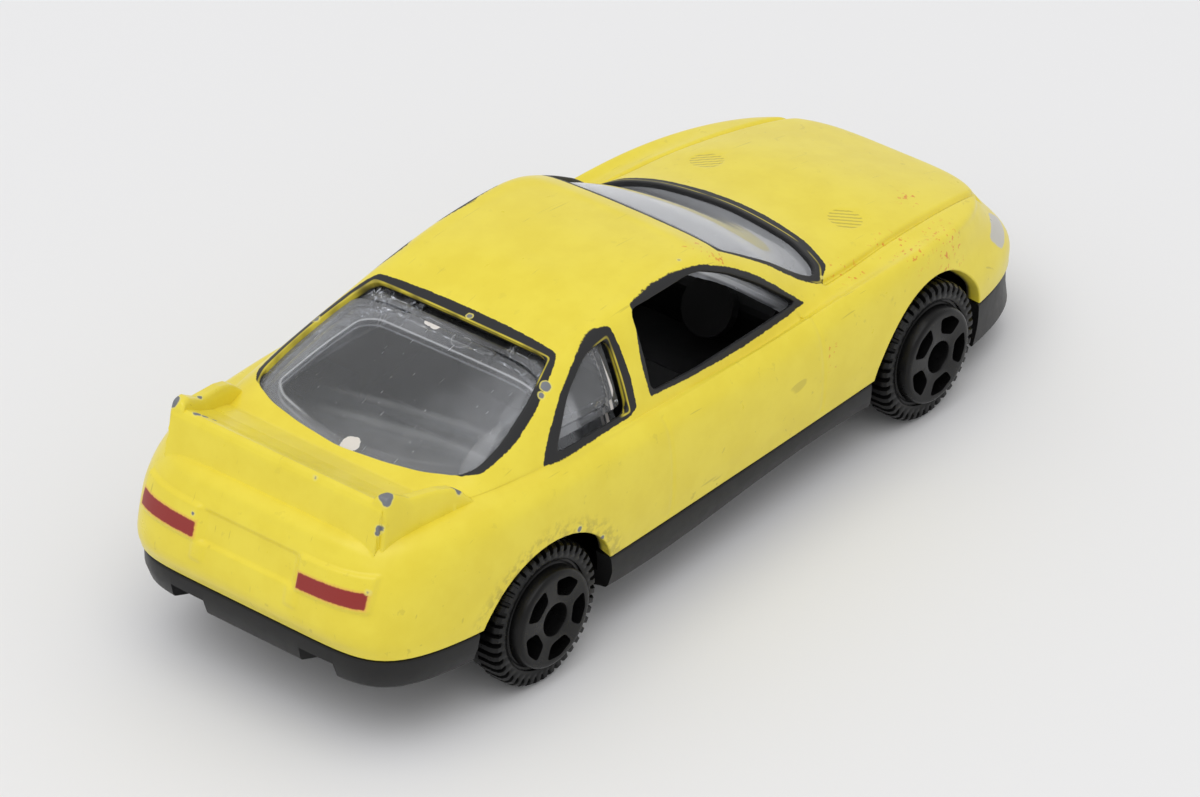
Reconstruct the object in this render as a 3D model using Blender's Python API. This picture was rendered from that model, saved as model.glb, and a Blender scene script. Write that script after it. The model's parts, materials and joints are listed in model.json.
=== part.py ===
"""A die-cast toy sports coupe in small scale, built as the real one is assembled.

A painted zinc shell with two cast posts, a black moulded base with bumpers and sills, a clear
window unit, a black cabin moulding, two steel axles, four treaded wheels and two rivets.
Frame: +X to the nose, +Y to the car's left, +Z up. The origin is on the ground, midway along the car.
"""

import math
from collections import namedtuple

import bmesh
import bpy
import numpy as np
from mathutils import Matrix, Vector

MM = 0.001

# Overall sizes
WHEELBASE = 42.5 * MM
FRONT_OVERHANG = 15.75 * MM
REAR_OVERHANG = 15.75 * MM
BODY_WIDTH = 27.2 * MM
ROOF_HEIGHT = 21.9 * MM

# Heights of the body's lines above the ground
SPLIT_HEIGHT = 6.5 * MM
BELT_HEIGHT = 15.0 * MM

# Lines that follow others
WAIST_BELOW_BELT = 3.8 * MM
COWL_ABOVE_BELT = 0.6 * MM
DECK_ABOVE_BELT = 1.3 * MM
NOSE_EDGE_BELOW_COWL = 4.2 * MM
RAIL_BELOW_ROOF = 1.0 * MM
WING_ABOVE_DECK = 2.85 * MM
BELT_INSET = 1.9 * MM
ROOF_INSET = 4.85 * MM

# Places along the car, measured from the axles
COWL_BEHIND_FRONT_AXLE = 6.3 * MM
ROOF_FRONT_BEHIND_FRONT_AXLE = 18.2 * MM
ROOF_REAR_AHEAD_REAR_AXLE = 6.6 * MM
DECK_BEHIND_REAR_AXLE = 6.6 * MM

# Castings and mouldings
SHELL_WALL = 1.2 * MM
LAMP_PROUD = 0.25 * MM
GLASS_WALL = 0.9 * MM
PANE_DEPTH = 0.45 * MM
PANE_GAP = 0.45 * MM
BASE_WALL = 1.3 * MM
FIT_GAP = 0.3 * MM
RIM_GAP = 0.3 * MM
BASE_FLOOR_HEIGHT = 3.5 * MM
LIP_HEIGHT = 2.5 * MM
SILL_BOTTOM_HEIGHT = 3.9 * MM
VALANCE_HEIGHT = 5.6 * MM

# Wheels and axles
WHEEL_DIAMETER = 10.6 * MM
TREAD_WIDTH = 3.7 * MM
WHEEL_INSET = 0.4 * MM
WELL_GAP = 0.6 * MM
DISC_DIAMETER = 7.2 * MM
DISC_PROUD = 0.75 * MM
TREAD_BLOCKS = 32
TREAD_DEPTH = 0.32 * MM
SPOKES = 5
HUB_HOLE_DIAMETER = 2.4 * MM
AXLE_DIAMETER = 1.3 * MM
AXLE_GAP = 0.05 * MM
BEARING_GAP = 0.08 * MM
ARCH_GAP_SIDE = 1.55 * MM
ARCH_GAP_TOP = 0.75 * MM

# Posts and rivets
POST_DIAMETER = 4.0 * MM
RIVET_SHANK_DIAMETER = 1.6 * MM
RIVET_HEAD_DIAMETER = 3.6 * MM
RIVET_HEAD_HEIGHT = 0.7 * MM
BOSS_HEIGHT = 0.6 * MM
POST_AHEAD_FRONT_AXLE = 8.4 * MM
POST_BEHIND_REAR_AXLE = 6.9 * MM

# The cabin's fittings
FLOOR_ABOVE_AXLE = 3.0 * MM
FLOOR_THICKNESS = 1.2 * MM
SEAT_NEAR = 1.2 * MM
SEAT_FAR = 7.0 * MM
DASH_BEHIND_COWL = 1.9 * MM
DASH_DEPTH = 4.2 * MM
DASH_INSET = 3.5 * MM

# Values worked out from the sizes above
LENGTH = WHEELBASE + FRONT_OVERHANG + REAR_OVERHANG
NOSE_X = LENGTH / 2
TAIL_X = -LENGTH / 2
FRONT_AXLE_X = NOSE_X - FRONT_OVERHANG
REAR_AXLE_X = TAIL_X + REAR_OVERHANG
AXLE_Z = WHEEL_DIAMETER / 2
HALF_WIDTH = BODY_WIDTH / 2
COWL_X = FRONT_AXLE_X - COWL_BEHIND_FRONT_AXLE
ROOF_FRONT_X = FRONT_AXLE_X - ROOF_FRONT_BEHIND_FRONT_AXLE
ROOF_REAR_X = REAR_AXLE_X + ROOF_REAR_AHEAD_REAR_AXLE
DECK_X = REAR_AXLE_X - DECK_BEHIND_REAR_AXLE
WAIST_HEIGHT = BELT_HEIGHT - WAIST_BELOW_BELT
COWL_HEIGHT = BELT_HEIGHT + COWL_ABOVE_BELT
DECK_HEIGHT = BELT_HEIGHT + DECK_ABOVE_BELT
NOSE_EDGE_HEIGHT = COWL_HEIGHT - NOSE_EDGE_BELOW_COWL
RAIL_HEIGHT = ROOF_HEIGHT - RAIL_BELOW_ROOF
WING_HEIGHT = DECK_HEIGHT + WING_ABOVE_DECK
BELT_HALF = HALF_WIDTH - BELT_INSET
ROOF_HALF = HALF_WIDTH - ROOF_INSET
WHEEL_OUTER_Y = HALF_WIDTH - WHEEL_INSET
WHEEL_INNER_Y = WHEEL_OUTER_Y - TREAD_WIDTH
WELL_INNER_Y = WHEEL_INNER_Y - WELL_GAP
ARCH_HALF_LENGTH = WHEEL_DIAMETER / 2 + ARCH_GAP_SIDE
ARCH_HALF_HEIGHT = WHEEL_DIAMETER / 2 + ARCH_GAP_TOP
BASE_FLOOR_TOP = BASE_FLOOR_HEIGHT + BASE_WALL
POST_X = {"front": FRONT_AXLE_X + POST_AHEAD_FRONT_AXLE, "rear": REAR_AXLE_X - POST_BEHIND_REAR_AXLE}
POST_FOOT = BASE_FLOOR_TOP + BOSS_HEIGHT
POST_TOP = {"front": NOSE_EDGE_HEIGHT + SHELL_WALL * 0.8, "rear": DECK_HEIGHT - SHELL_WALL / 2}
RIVET_TIP = POST_FOOT + 2 * RIVET_SHANK_DIAMETER
AXLE_X = {"front": FRONT_AXLE_X, "rear": REAR_AXLE_X}
SIDES = (("left", 1), ("right", -1))
CABIN_FLOOR = AXLE_Z + FLOOR_ABOVE_AXLE
CABIN_HALF = BELT_HALF - DASH_INSET
SEAT_TOP = BELT_HEIGHT + 0.4 * MM
SEAT_X = (COWL_X + DECK_X) / 2 + 3.2 * MM
DASH_X = COWL_X - DASH_BEHIND_COWL

# How finely the lofts are cut
RING_POINTS = 60
OUTER_STEPS = 2
INNER_STEPS = 1
ROUND_SIDES = 24
CORNER_STEPS = 4

# One closed line round the car: its reach fore and aft, its half-widths, how square its corners are,
# how far its front and rear bow back at the corners, its height from the tail to the nose, how far its
# front corners hang, and its shares of the wall's thickness inwards and down.
Line = namedtuple(
    "Line",
    "front rear half front_half rear_half front_power rear_power bow_front bow_rear crown heights inset drop",
)


def lower_line(nose_in, tail_in, side_in, powers, heights, shares, crown=0.0):
    """A line of the lower body, given by how far it lies inside the car's greatest plan."""
    half = HALF_WIDTH - side_in * MM
    return Line(
        NOSE_X - nose_in * MM, TAIL_X + tail_in * MM, half, half, half, *powers, 0.0, 0.0,
        crown * MM, heights, *shares,
    )


def cabin_line(reach, half, narrow, powers, bows, heights, shares, crown):
    """A line of the cabin, given by its reach and by how much narrower its two ends are."""
    return Line(
        *reach, half, half - narrow[0] * MM, half - narrow[1] * MM, *powers, bows[0] * MM, bows[1] * MM,
        crown * MM, heights, *shares,
    )


def up(base, *offsets):
    return [base + offset * MM for offset in offsets]


def body_lines():
    """The body's closed lines from the split edge up to the roof's crown."""
    split, waist, belt, rail = SPLIT_HEIGHT, WAIST_HEIGHT, BELT_HEIGHT, RAIL_HEIGHT
    edge, cowl, deck, roof = NOSE_EDGE_HEIGHT, COWL_HEIGHT, DECK_HEIGHT, ROOF_HEIGHT
    shoulder = [*up(deck, -0.4, -1.0), belt - 0.6 * MM, *up(edge, 2.35, 0.4)]
    bonnet = [*up(deck, 0.0, -0.7), belt - 0.3 * MM, *up(cowl, -1.3, -1.3)]
    cowl_line = [*up(deck, 0.1, -0.2), *up(belt, 0.0, -0.1), cowl]
    bonnet_reach = ((NOSE_X + COWL_X) / 2 - 1.8 * MM, (TAIL_X + DECK_X) / 2 + 1.4 * MM)
    screen_reach = ((COWL_X + ROOF_FRONT_X) / 2, (DECK_X + ROOF_REAR_X) / 2)
    screen_half = (BELT_HALF + ROOF_HALF) / 2 + 0.25 * MM
    middle = (ROOF_FRONT_X + ROOF_REAR_X) / 2
    return [
        lower_line(0.15, 0.6, 0.25, (4.9, 7.4), up(split, 1.75, 0.5, 0.0, -0.2, -0.7), (1.0, 0.0)),
        lower_line(0.0, 0.0, 0.0, (4.5, 6.4), up(split, 3.4, 2.5, 2.1, 1.9, 0.9), (1.0, 0.0)),
        lower_line(1.35, 0.75, 0.0, (3.8, 6.2), up(waist, 1.6, 0.7, 0.0, -0.5, -1.7), (1.0, 0.1)),
        lower_line(2.55, 1.5, 0.35, (3.8, 5.6), up(waist, 3.6, 3.1, 2.0, 1.5, -0.3), (1.0, 0.5)),
        lower_line(4.15, 2.5, 1.1, (4.2, 5.2), shoulder, (0.9, 1.0), -0.1),
        cabin_line(
            bonnet_reach, (HALF_WIDTH + BELT_HALF) / 2 - 0.6 * MM, (0.6, 1.0), (4.6, 5.6), (0.8, 0.4),
            bonnet, (0.5, 1.0), 0.7,
        ),
        cabin_line(
            (COWL_X, DECK_X), BELT_HALF, (0.7, 1.0), (7.0, 9.0), (1.5, 0.7), cowl_line, (0.6, 0.8), 1.0,
        ),
        cabin_line(
            screen_reach, screen_half, (0.6, 1.0), (7.5, 9.0), (1.0, 0.5),
            up(rail, -2.2, -2.6, -2.85, -2.8, -2.55), (0.8, 0.5), 0.5,
        ),
        cabin_line(
            (ROOF_FRONT_X, ROOF_REAR_X), ROOF_HALF, (0.2, 0.5), (9.0, 10.0), (0.3, 0.3),
            up(rail, -0.45, -0.15, 0.1, 0.15, -0.05), (0.7, 0.7), 0.1,
        ),
        cabin_line(
            (ROOF_FRONT_X - 2.0 * MM, ROOF_REAR_X + 2.0 * MM), ROOF_HALF - 1.7 * MM, (0.2, 0.2), (6.0, 6.0),
            (0.2, 0.3), up(roof, -0.95, -0.6, -0.42, -0.42, -0.6), (0.4, 1.0), 0.0,
        ),
        cabin_line(
            (middle + 3.2 * MM, middle - 3.2 * MM), ROOF_HALF * 0.4, (0.0, 0.0), (3.0, 3.0), (0.0, 0.0),
            up(roof, -0.12, -0.08, -0.06, -0.08, -0.12), (0.1, 1.0), 0.0,
        ),
        cabin_line(
            (middle + 0.5 * MM, middle - 0.5 * MM), ROOF_HALF * 0.05, (0.0, 0.0), (2.0, 2.0), (0.0, 0.0),
            up(roof, 0.0, 0.0, 0.0, 0.0, 0.0), (0.0, 1.0), 0.0,
        ),
    ]


# Where along a line, from tail to nose, its heights are given
BODY_STATIONS = np.array([-1.0, -0.57, 0.0, 0.57, 1.0])
BASE_STATIONS = np.array([-1.0, -0.62, -0.4, 0.4, 0.62, 1.0])
CABIN_START = 6
EVEN_POWER = 4.9


def smooth(knots, values, at):
    """A smooth curve through the values, as a cubic between each pair of knots."""
    values = np.asarray(values, float)
    slopes = np.gradient(values, knots, axis=0)
    index = np.clip(np.searchsorted(knots, at, side="right") - 1, 0, len(knots) - 2)
    span = knots[index + 1] - knots[index]
    u = (at - knots[index]) / span
    if values.ndim > 1:
        u, span = u[..., None], span[..., None]
    start, end = values[index], values[index + 1]
    return (
        start * (2 * u**3 - 3 * u**2 + 1)
        + slopes[index] * span * (u**3 - 2 * u**2 + u)
        + end * (3 * u**2 - 2 * u**3)
        + slopes[index + 1] * span * (u**3 - u**2)
    )


def ring_angles(count):
    """Angles round a line that space its points evenly, alike in each quarter, with none on the axes."""
    dense = np.linspace(0.0, math.pi / 2, 2000)
    along = LENGTH / 2 * np.cos(dense) ** (2 / EVEN_POWER)
    across = HALF_WIDTH * np.sin(dense) ** (2 / EVEN_POWER)
    run = np.concatenate([[0.0], np.cumsum(np.hypot(np.diff(along), np.diff(across)))])
    shares = (np.arange(count // 4) + 0.5) / (count // 4)
    quarter = np.interp(shares * run[-1], run, dense)
    half = np.concatenate([quarter, math.pi - quarter[::-1]])
    return np.concatenate([half, half + math.pi])


def line_values(line, inside=0.0):
    """A line's values as one array, moved in and down by its shares of a wall."""
    inward, lower = inside * line.inset, inside * line.drop
    return np.array(
        [
            line.front - inward, line.rear + inward, line.half - inward, line.front_half - inward,
            line.rear_half - inward, line.front_power, line.rear_power, line.bow_front, line.bow_rear,
            line.crown, *[height - lower for height in line.heights],
        ]
    )


def ring_points(values, angles, stations=BODY_STATIONS):
    """The points of one closed line round the car."""
    front, rear, half, front_half, rear_half = values[:5]
    front_power, rear_power, bow_front, bow_rear, crown = values[5:10]
    cosine, sine = np.cos(angles), np.sin(angles)
    along = np.sign(cosine) * np.abs(cosine) ** (2 / EVEN_POWER)
    across = np.sign(sine) * np.abs(sine) ** (2 / EVEN_POWER)
    power = np.where(along > 0.0, front_power, rear_power)
    reach = (np.abs(along) ** power + np.abs(across) ** power) ** (-1 / power)
    along, across = along * reach, across * reach
    ahead, behind = np.maximum(along, 0.0), np.maximum(-along, 0.0)
    width = half + (front_half - half) * ahead**2 + (rear_half - half) * behind**2
    x = (front + rear) / 2 + (front - rear) / 2 * along
    x = x - bow_front * ahead * across**2 + bow_rear * behind * across**2
    z = smooth(stations, values[10:], along) - crown * ahead * across**2
    return np.stack([x, width * across, z], axis=1)


def loft_rings(lines, steps, angles, inside=0.0):
    """Rings through the lines, with so many steps from each line to the next."""
    values = np.array([line_values(line, inside) for line in lines])
    knots = np.arange(len(lines), dtype=float)
    levels = np.linspace(0.0, len(lines) - 1, (len(lines) - 1) * steps + 1)
    return [ring_points(row, angles) for row in smooth(knots, values, levels)]


# Mesh helpers


def clear_scene():
    for obj in list(bpy.data.objects):
        bpy.data.objects.remove(obj, do_unlink=True)


def make_collection(name):
    collection = bpy.data.collections.new(name)
    bpy.context.scene.collection.children.link(collection)
    return collection


def make_material(name, colour, roughness, metallic=0.0, transmission=0.0):
    material = bpy.data.materials.new(name)
    material.use_nodes = True
    shader = material.node_tree.nodes["Principled BSDF"]
    shader.inputs["Base Color"].default_value = (*colour, 1.0)
    shader.inputs["Roughness"].default_value = roughness
    shader.inputs["Metallic"].default_value = metallic
    shader.inputs["Transmission Weight"].default_value = transmission
    return material


def mesh_object(name, bm, material=None, smooth_angle=35.0):
    """A new object from a bmesh: a part if it has a material, and otherwise a cutter."""
    bmesh.ops.recalc_face_normals(bm, faces=bm.faces)
    mesh = bpy.data.meshes.new(name)
    bm.to_mesh(mesh)
    bm.free()
    obj = bpy.data.objects.new(name, mesh)
    if material is None:
        CUTTERS.objects.link(obj)
        obj.hide_render = True
        obj.display_type = "WIRE"
    else:
        PARTS.objects.link(obj)
        mesh.materials.append(material)
        mesh.shade_smooth()
        mesh.set_sharp_from_angle(angle=math.radians(smooth_angle))
    return obj


def set_origin(obj, point):
    """Move an object's origin to a point, such as one on its joint's axis."""
    obj.data.transform(Matrix.Translation(-Vector(point)))
    obj.location = point


def combine(target, tools, operation):
    """One exact Boolean with a group of tools, so that nothing is rounded from one tool to the next."""
    group = bpy.data.collections.new(f"{target.name} {operation.lower()} {len(target.modifiers)}")
    CUTTERS.children.link(group)
    for tool in tools:
        CUTTERS.objects.unlink(tool)
        group.objects.link(tool)
    modifier = target.modifiers.new(operation.lower(), "BOOLEAN")
    modifier.operation = operation
    modifier.operand_type = "COLLECTION"
    modifier.collection = group
    modifier.solver = "EXACT"


def cut(target, *tools):
    combine(target, tools, "DIFFERENCE")


def join(target, *tools):
    combine(target, tools, "UNION")


def loft(rings):
    """A closed skin through rings of equal count, with a flat face on the first and the last."""
    bm = bmesh.new()
    loops = [[bm.verts.new(point) for point in ring] for ring in rings]
    count = len(loops[0])
    for lower, upper in zip(loops, loops[1:]):
        for i in range(count):
            j = (i + 1) % count
            bm.faces.new((lower[i], lower[j], upper[j], upper[i]))
    bm.faces.new(loops[0])
    bm.faces.new(loops[-1])
    return bm


def span(sign, near, far):
    """A range across the car on one side, in rising order."""
    return sorted((sign * near, sign * far))


def rounded(corners, radius, steps=CORNER_STEPS):
    """An outline with each corner turned into a short curve."""
    points = []
    for i, corner in enumerate(corners):
        corner = Vector(corner)
        before, after = Vector(corners[i - 1]), Vector(corners[(i + 1) % len(corners)])
        reach = min(radius, (before - corner).length * 0.45, (after - corner).length * 0.45)
        start = corner + (before - corner).normalized() * reach
        end = corner + (after - corner).normalized() * reach
        for k in range(steps + 1):
            u = k / steps
            points.append(start * (1 - u) ** 2 + corner * 2 * u * (1 - u) + end * u**2)
    return points


def prism(name, outline, low, high, axis, material=None):
    """An outline pushed from low to high along one axis: its points are the other two coordinates."""
    bm = bmesh.new()
    slot = "XYZ".index(axis)
    face = bm.faces.new([bm.verts.new([*p[:slot], low, *p[slot:]]) for p in outline])
    grown = bmesh.ops.extrude_face_region(bm, geom=[face])
    moved = [v for v in grown["geom"] if isinstance(v, bmesh.types.BMVert)]
    step = Vector((0.0, 0.0, 0.0))
    step[slot] = high - low
    bmesh.ops.translate(bm, verts=moved, vec=step)
    return mesh_object(name, bm, material)


def box(name, low, high, material=None, bevel=0.0):
    bm = bmesh.new()
    size = Vector(high) - Vector(low)
    middle = (Vector(high) + Vector(low)) / 2
    bmesh.ops.create_cube(bm, size=1.0, matrix=Matrix.Translation(middle) @ Matrix.Diagonal((*size, 1.0)))
    if bevel:
        bmesh.ops.bevel(bm, geom=bm.edges[:], offset=bevel, segments=2, affect="EDGES", profile=0.5)
    return mesh_object(name, bm, material)


def cylinder(name, radius, low, high, axis, material=None, sides=ROUND_SIDES, stretch=1.0):
    """A round bar between two points on a line along Y or Z. Stretch makes it an ellipse in X."""
    bm = bmesh.new()
    low, high = Vector(low), Vector(high)
    turn = Matrix.Rotation(math.pi / 2, 4, "X") if axis == "Y" else Matrix.Identity(4)
    place = Matrix.Translation((low + high) / 2) @ Matrix.Diagonal((stretch, 1.0, 1.0, 1.0)) @ turn
    size = {"radius1": radius, "radius2": radius, "depth": (high - low).length}
    bmesh.ops.create_cone(bm, cap_ends=True, segments=sides, matrix=place, **size)
    return mesh_object(name, bm, material)


# The painted shell


def inset(corners, amount):
    """An outline with every side moved in by the same amount."""
    middle = sum((Vector(c) for c in corners), Vector((0.0, 0.0))) / len(corners)
    sides = []
    for a, b in zip(corners, corners[1:] + corners[:1]):
        run = Vector(b) - Vector(a)
        normal = Vector((run.y, -run.x)).normalized()
        if normal.dot(middle - Vector(a)) < 0:
            normal.negate()
        sides.append((normal, normal.dot(Vector(a)) + amount))
    moved = []
    for (n1, d1), (n2, d2) in zip(sides[-1:] + sides[:-1], sides):
        cross = n1.cross(n2)
        moved.append(((d1 * n2.y - d2 * n1.y) / cross, (n1.x * d2 - n2.x * d1) / cross))
    return moved


def side_window_corners():
    """The door opening and the quarter window, seen from the side as (x, z)."""
    pillar_x = (COWL_X + ROOF_REAR_X) / 2 - 7.75 * MM

    def corners(points):
        return [(x + step * MM, BELT_HEIGHT + rise * (RAIL_HEIGHT - BELT_HEIGHT)) for x, step, rise in points]

    door = [
        (pillar_x, -0.5, 0.13), (pillar_x, 4.6, 0.04), (COWL_X, -6.6, -0.035), (ROOF_FRONT_X, 2.2, 0.39),
        (ROOF_FRONT_X, -0.4, 0.71), (ROOF_FRONT_X, -2.9, 0.925), (ROOF_FRONT_X, -4.4, 0.965),
        (pillar_x, 0.6, 0.97),
    ]
    quarter = [
        ((DECK_X + ROOF_REAR_X) / 2, 2.95, 0.16), (pillar_x, -2.85, 0.09), (pillar_x, -2.3, 0.915),
        (pillar_x, -4.8, 0.865), (pillar_x, -7.7, 0.6),
    ]
    return corners(door), corners(quarter)


def end_window_corners():
    """The windscreen and the rear window, seen from above as (x, y)."""
    screen = [(0.045, 3.9), (0.75, 1.85), (0.845, 2.8), (0.925, 5.5)]
    rear = [(-0.015, 4.0), (0.25, 2.9), (0.52, 2.25), (0.71, 2.25), (0.815, 2.9), (0.89, 5.1), (0.935, 8.1)]
    outlines = []
    for top, foot, shape in ((ROOF_FRONT_X, COWL_X, screen), (ROOF_REAR_X, DECK_X, rear)):
        half = [(top + share * (foot - top), BELT_HALF - narrow * MM) for share, narrow in shape]
        middle = (top + 0.965 * (foot - top), 0.0)
        outlines.append([*half, middle, *((x, -y) for x, y in reversed(half))])
    return outlines


def opening_prisms(label, gap=0.0):
    """Prisms through the windscreen, rear window and quarter windows, smaller by a gap."""
    _, quarter = side_window_corners()
    screen, rear = end_window_corners()
    low, high = BELT_HEIGHT - 2.0 * MM, ROOF_HEIGHT + 1.0 * MM
    tools = [
        prism(f"{label} windscreen", rounded(inset(screen, gap), 0.8 * MM, 2), low, high, "Z"),
        prism(f"{label} rear window", rounded(inset(rear, gap), 0.8 * MM, 2), low, high, "Z"),
    ]
    for side, sign in SIDES:
        near, far = span(sign, HALF_WIDTH / 2, HALF_WIDTH)
        outline = rounded(inset(quarter, gap), 0.6 * MM, 2)
        tools.append(prism(f"{label} {side} quarter window", outline, near, far, "Y"))
    return tools


def door_prism(name, gap=0.0):
    door, _ = side_window_corners()
    return prism(name, rounded(inset(door, -gap), 0.7 * MM, 2), -HALF_WIDTH, HALF_WIDTH, "Y")


def arch_cutters(label, grow=0.0):
    """The four wheel openings, as short bars with an oval outline."""
    cutters = []
    for end, axle_x in AXLE_X.items():
        for side, sign in SIDES:
            near = (axle_x, sign * (WELL_INNER_Y - grow), AXLE_Z)
            far = (axle_x, sign * (HALF_WIDTH + 2.0 * MM), AXLE_Z)
            cutters.append(
                cylinder(
                    f"cut {label} {end} {side} arch", ARCH_HALF_HEIGHT + grow, near, far, "Y",
                    sides=36, stretch=(ARCH_HALF_LENGTH + grow) / (ARCH_HALF_HEIGHT + grow),
                )
            )
    return cutters


def wing_tools():
    """The boot wing: a ramp up to a leaning wall, between two plates that run forward to the pillars."""
    x, deck, top = TAIL_X / MM + 3.9, DECK_HEIGHT / MM, WING_HEIGHT / MM
    half, plate, splay = BELT_HALF - 2.0 * MM, 1.25 * MM, 0.15
    blade = [
        (x - 1.05, deck - 0.95), (x - 0.15, top - 0.75), (x + 0.1, top - 0.55), (x + 0.5, top - 0.6),
        (x + 1.7, top - 1.4), (x + 3.3, top - 2.2), (x + 5.0, deck + 0.1), (x + 6.0, deck - 0.35),
        (x + 6.0, deck - 0.7),
    ]
    fin = [
        (x - 0.65, deck - 1.0), (x + 0.1, top), (x + 1.0, top), (x + 2.0, top - 0.8), (x + 4.7, top - 1.3),
        (x + 6.0, top - 1.7), (x + 6.7, top - 2.3), (x + 7.1, deck - 0.9),
    ]
    blade, fin = ([(u * MM, v * MM) for u, v in outline] for outline in (blade, fin))
    tools = [prism("wing blade", blade, plate / 2 - half, half - plate / 2, "Y")]
    for side, sign in SIDES:
        low, high = span(sign, half - plate, half)
        tools.append(prism(f"wing {side} plate", rounded(fin, 0.3 * MM, 2), low, high, "Y"))
        for v in tools[-1].data.vertices:
            v.co.y += sign * splay * (v.co.x - x * MM)
    return tools


def lamp_tools():
    """The raised tail lamp housings: blocks turned to the tail's corners and trimmed by a grown skin."""
    skin = mesh_object("lamp skin", loft(loft_rings(body_lines(), 1, ring_angles(RING_POINTS), -LAMP_PROUD)))
    middle_y, middle_z = BELT_HALF - 4.5 * MM, WAIST_HEIGHT + 1.75 * MM
    tools = []
    for side, sign in SIDES:
        bm = bmesh.new()
        bmesh.ops.create_cube(bm, size=1.0, matrix=Matrix.Diagonal((3.0 * MM, 5.2 * MM, 2.2 * MM, 1.0)))
        place = Matrix.Translation((TAIL_X + 1.3 * MM, sign * middle_y, middle_z))
        turn = Matrix.Rotation(-sign * math.radians(11.0), 4, "Z")
        bmesh.ops.transform(bm, matrix=place @ turn, verts=bm.verts)
        tools.append(mesh_object(f"lamp housing {side}", bm))
        trim = tools[-1].modifiers.new("trim", "BOOLEAN")
        trim.operation = "INTERSECT"
        trim.object = skin
        trim.solver = "EXACT"
    return tools


def post_tools():
    """The two cast posts that come down to the base, each with a blind hole for its rivet."""
    posts, holes = [], []
    for end, x in POST_X.items():
        foot, top = (x, 0, POST_FOOT + RIM_GAP), (x, 0, POST_TOP[end])
        posts.append(cylinder(f"post {end}", POST_DIAMETER / 2, foot, top, "Z"))
        below, end_of_hole = (x, 0, 0), (x, 0, RIVET_TIP + RIVET_SHANK_DIAMETER / 2)
        radius = RIVET_SHANK_DIAMETER / 2 + AXLE_GAP
        holes.append(cylinder(f"cut post {end}", radius, below, end_of_hole, "Z", sides=16))
    return posts, holes


def intake_cutter():
    """The shallow air intake across the nose."""
    low, high = SPLIT_HEIGHT + 0.3 * MM, SPLIT_HEIGHT + 1.9 * MM
    wide, narrow = HALF_WIDTH * 0.40, HALF_WIDTH * 0.36
    outline = rounded([(-wide, low), (wide, low), (narrow, high), (-narrow, high)], 0.5 * MM)
    return prism("cut intake", outline, NOSE_X - 0.75 * MM, NOSE_X + 1.0 * MM, "X")


def make_shell(material):
    angles = ring_angles(RING_POINTS)
    lines = body_lines()
    outer = loft_rings(lines, OUTER_STEPS, angles)
    inner = loft_rings(lines, INNER_STEPS, angles, SHELL_WALL)
    shell = mesh_object("body_shell", loft(outer[::-1] + inner), material)
    posts, holes = post_tools()
    join(shell, *wing_tools(), *lamp_tools(), *posts)
    windows = [door_prism("cut doors"), *opening_prisms("cut")]
    cut(shell, *holes, *windows, *arch_cutters("shell"), intake_cutter())
    return shell


# The clear window unit


def make_windows(material):
    """A clear hood under the roof, open at the doors, with a raised pane in every other window."""
    angles = ring_angles(RING_POINTS)
    near = SHELL_WALL + FIT_GAP

    def hood(name, lines, outside, inside, material=None):
        outer = loft_rings(lines, OUTER_STEPS, angles, outside)
        inner = loft_rings(lines, INNER_STEPS, angles, inside)
        return mesh_object(name, loft(outer[::-1] + inner), material)

    windows = hood("window_unit", body_lines()[CABIN_START:], near, near + GLASS_WALL, material)
    skin = hood("pane skin", body_lines()[CABIN_START - 1 :], PANE_DEPTH, near + GLASS_WALL / 2)
    panes = opening_prisms("pane", PANE_GAP)
    for pane in panes:
        trim = pane.modifiers.new("trim", "BOOLEAN")
        trim.operation, trim.object, trim.solver = "INTERSECT", skin, "EXACT"
    join(windows, *panes)
    cut(windows, door_prism("cut window unit doors", 0.9 * MM))
    return windows


# The black base


def base_lines():
    """The base's closed lines: flat underside, foot of the skirt and the rim under the shell."""
    split = body_lines()[0]
    gap = FIT_GAP / 2
    wall = gap + BASE_WALL

    def moved(inward, heights, rear_in=0.0, power=split.front_power):
        half = split.half - inward
        return split._replace(
            front=split.front - inward, rear=split.rear + inward + rear_in, half=half,
            front_half=half, rear_half=half, front_power=power, heights=heights,
        )

    rim = list(smooth(BODY_STATIONS, split.heights, BASE_STATIONS) - RIM_GAP)
    sill, lip, valance = SILL_BOTTOM_HEIGHT, LIP_HEIGHT, VALANCE_HEIGHT
    foot = [valance, valance - 0.9 * MM, sill, sill, lip + 0.2 * MM, lip]
    under, top = [BASE_FLOOR_HEIGHT] * 6, [BASE_FLOOR_TOP] * 6
    return [
        moved(2.2 * MM, under, 3.2 * MM),
        moved(gap + 0.3 * MM, foot, power=5.8),
        moved(gap, [(a + b) / 2 for a, b in zip(rim, foot)]),
        moved(gap, rim),
        moved(wall, rim),
        moved(wall, top, 4.0 * MM),
    ]


def bearing_tools():
    """Bearing blocks that stand on the floor beside each wheel, with open slots for the axle."""
    blocks, slots = [], []
    near, far = WELL_INNER_Y - 2.3 * MM, WELL_INNER_Y - 0.2 * MM
    radius = AXLE_DIAMETER / 2 + BEARING_GAP
    for end, x in AXLE_X.items():
        for side, sign in SIDES:
            low, high = span(sign, near, far)
            foot, top = BASE_FLOOR_HEIGHT + 0.4 * MM, AXLE_Z + 1.7 * MM
            blocks.append(box(f"bearing {end} {side}", (x - 1.9 * MM, low, foot), (x + 1.9 * MM, high, top)))
        turns = np.linspace(math.pi, 2 * math.pi, 13)
        slot = [(x + radius * math.cos(a), AXLE_Z + radius * math.sin(a)) for a in turns]
        slot += [(x + radius, AXLE_Z + 4.0 * MM), (x - radius, AXLE_Z + 4.0 * MM)]
        slots.append(prism(f"cut axle slot {end}", slot, -far - 1.0 * MM, far + 1.0 * MM, "Y"))
    return blocks, slots


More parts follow.
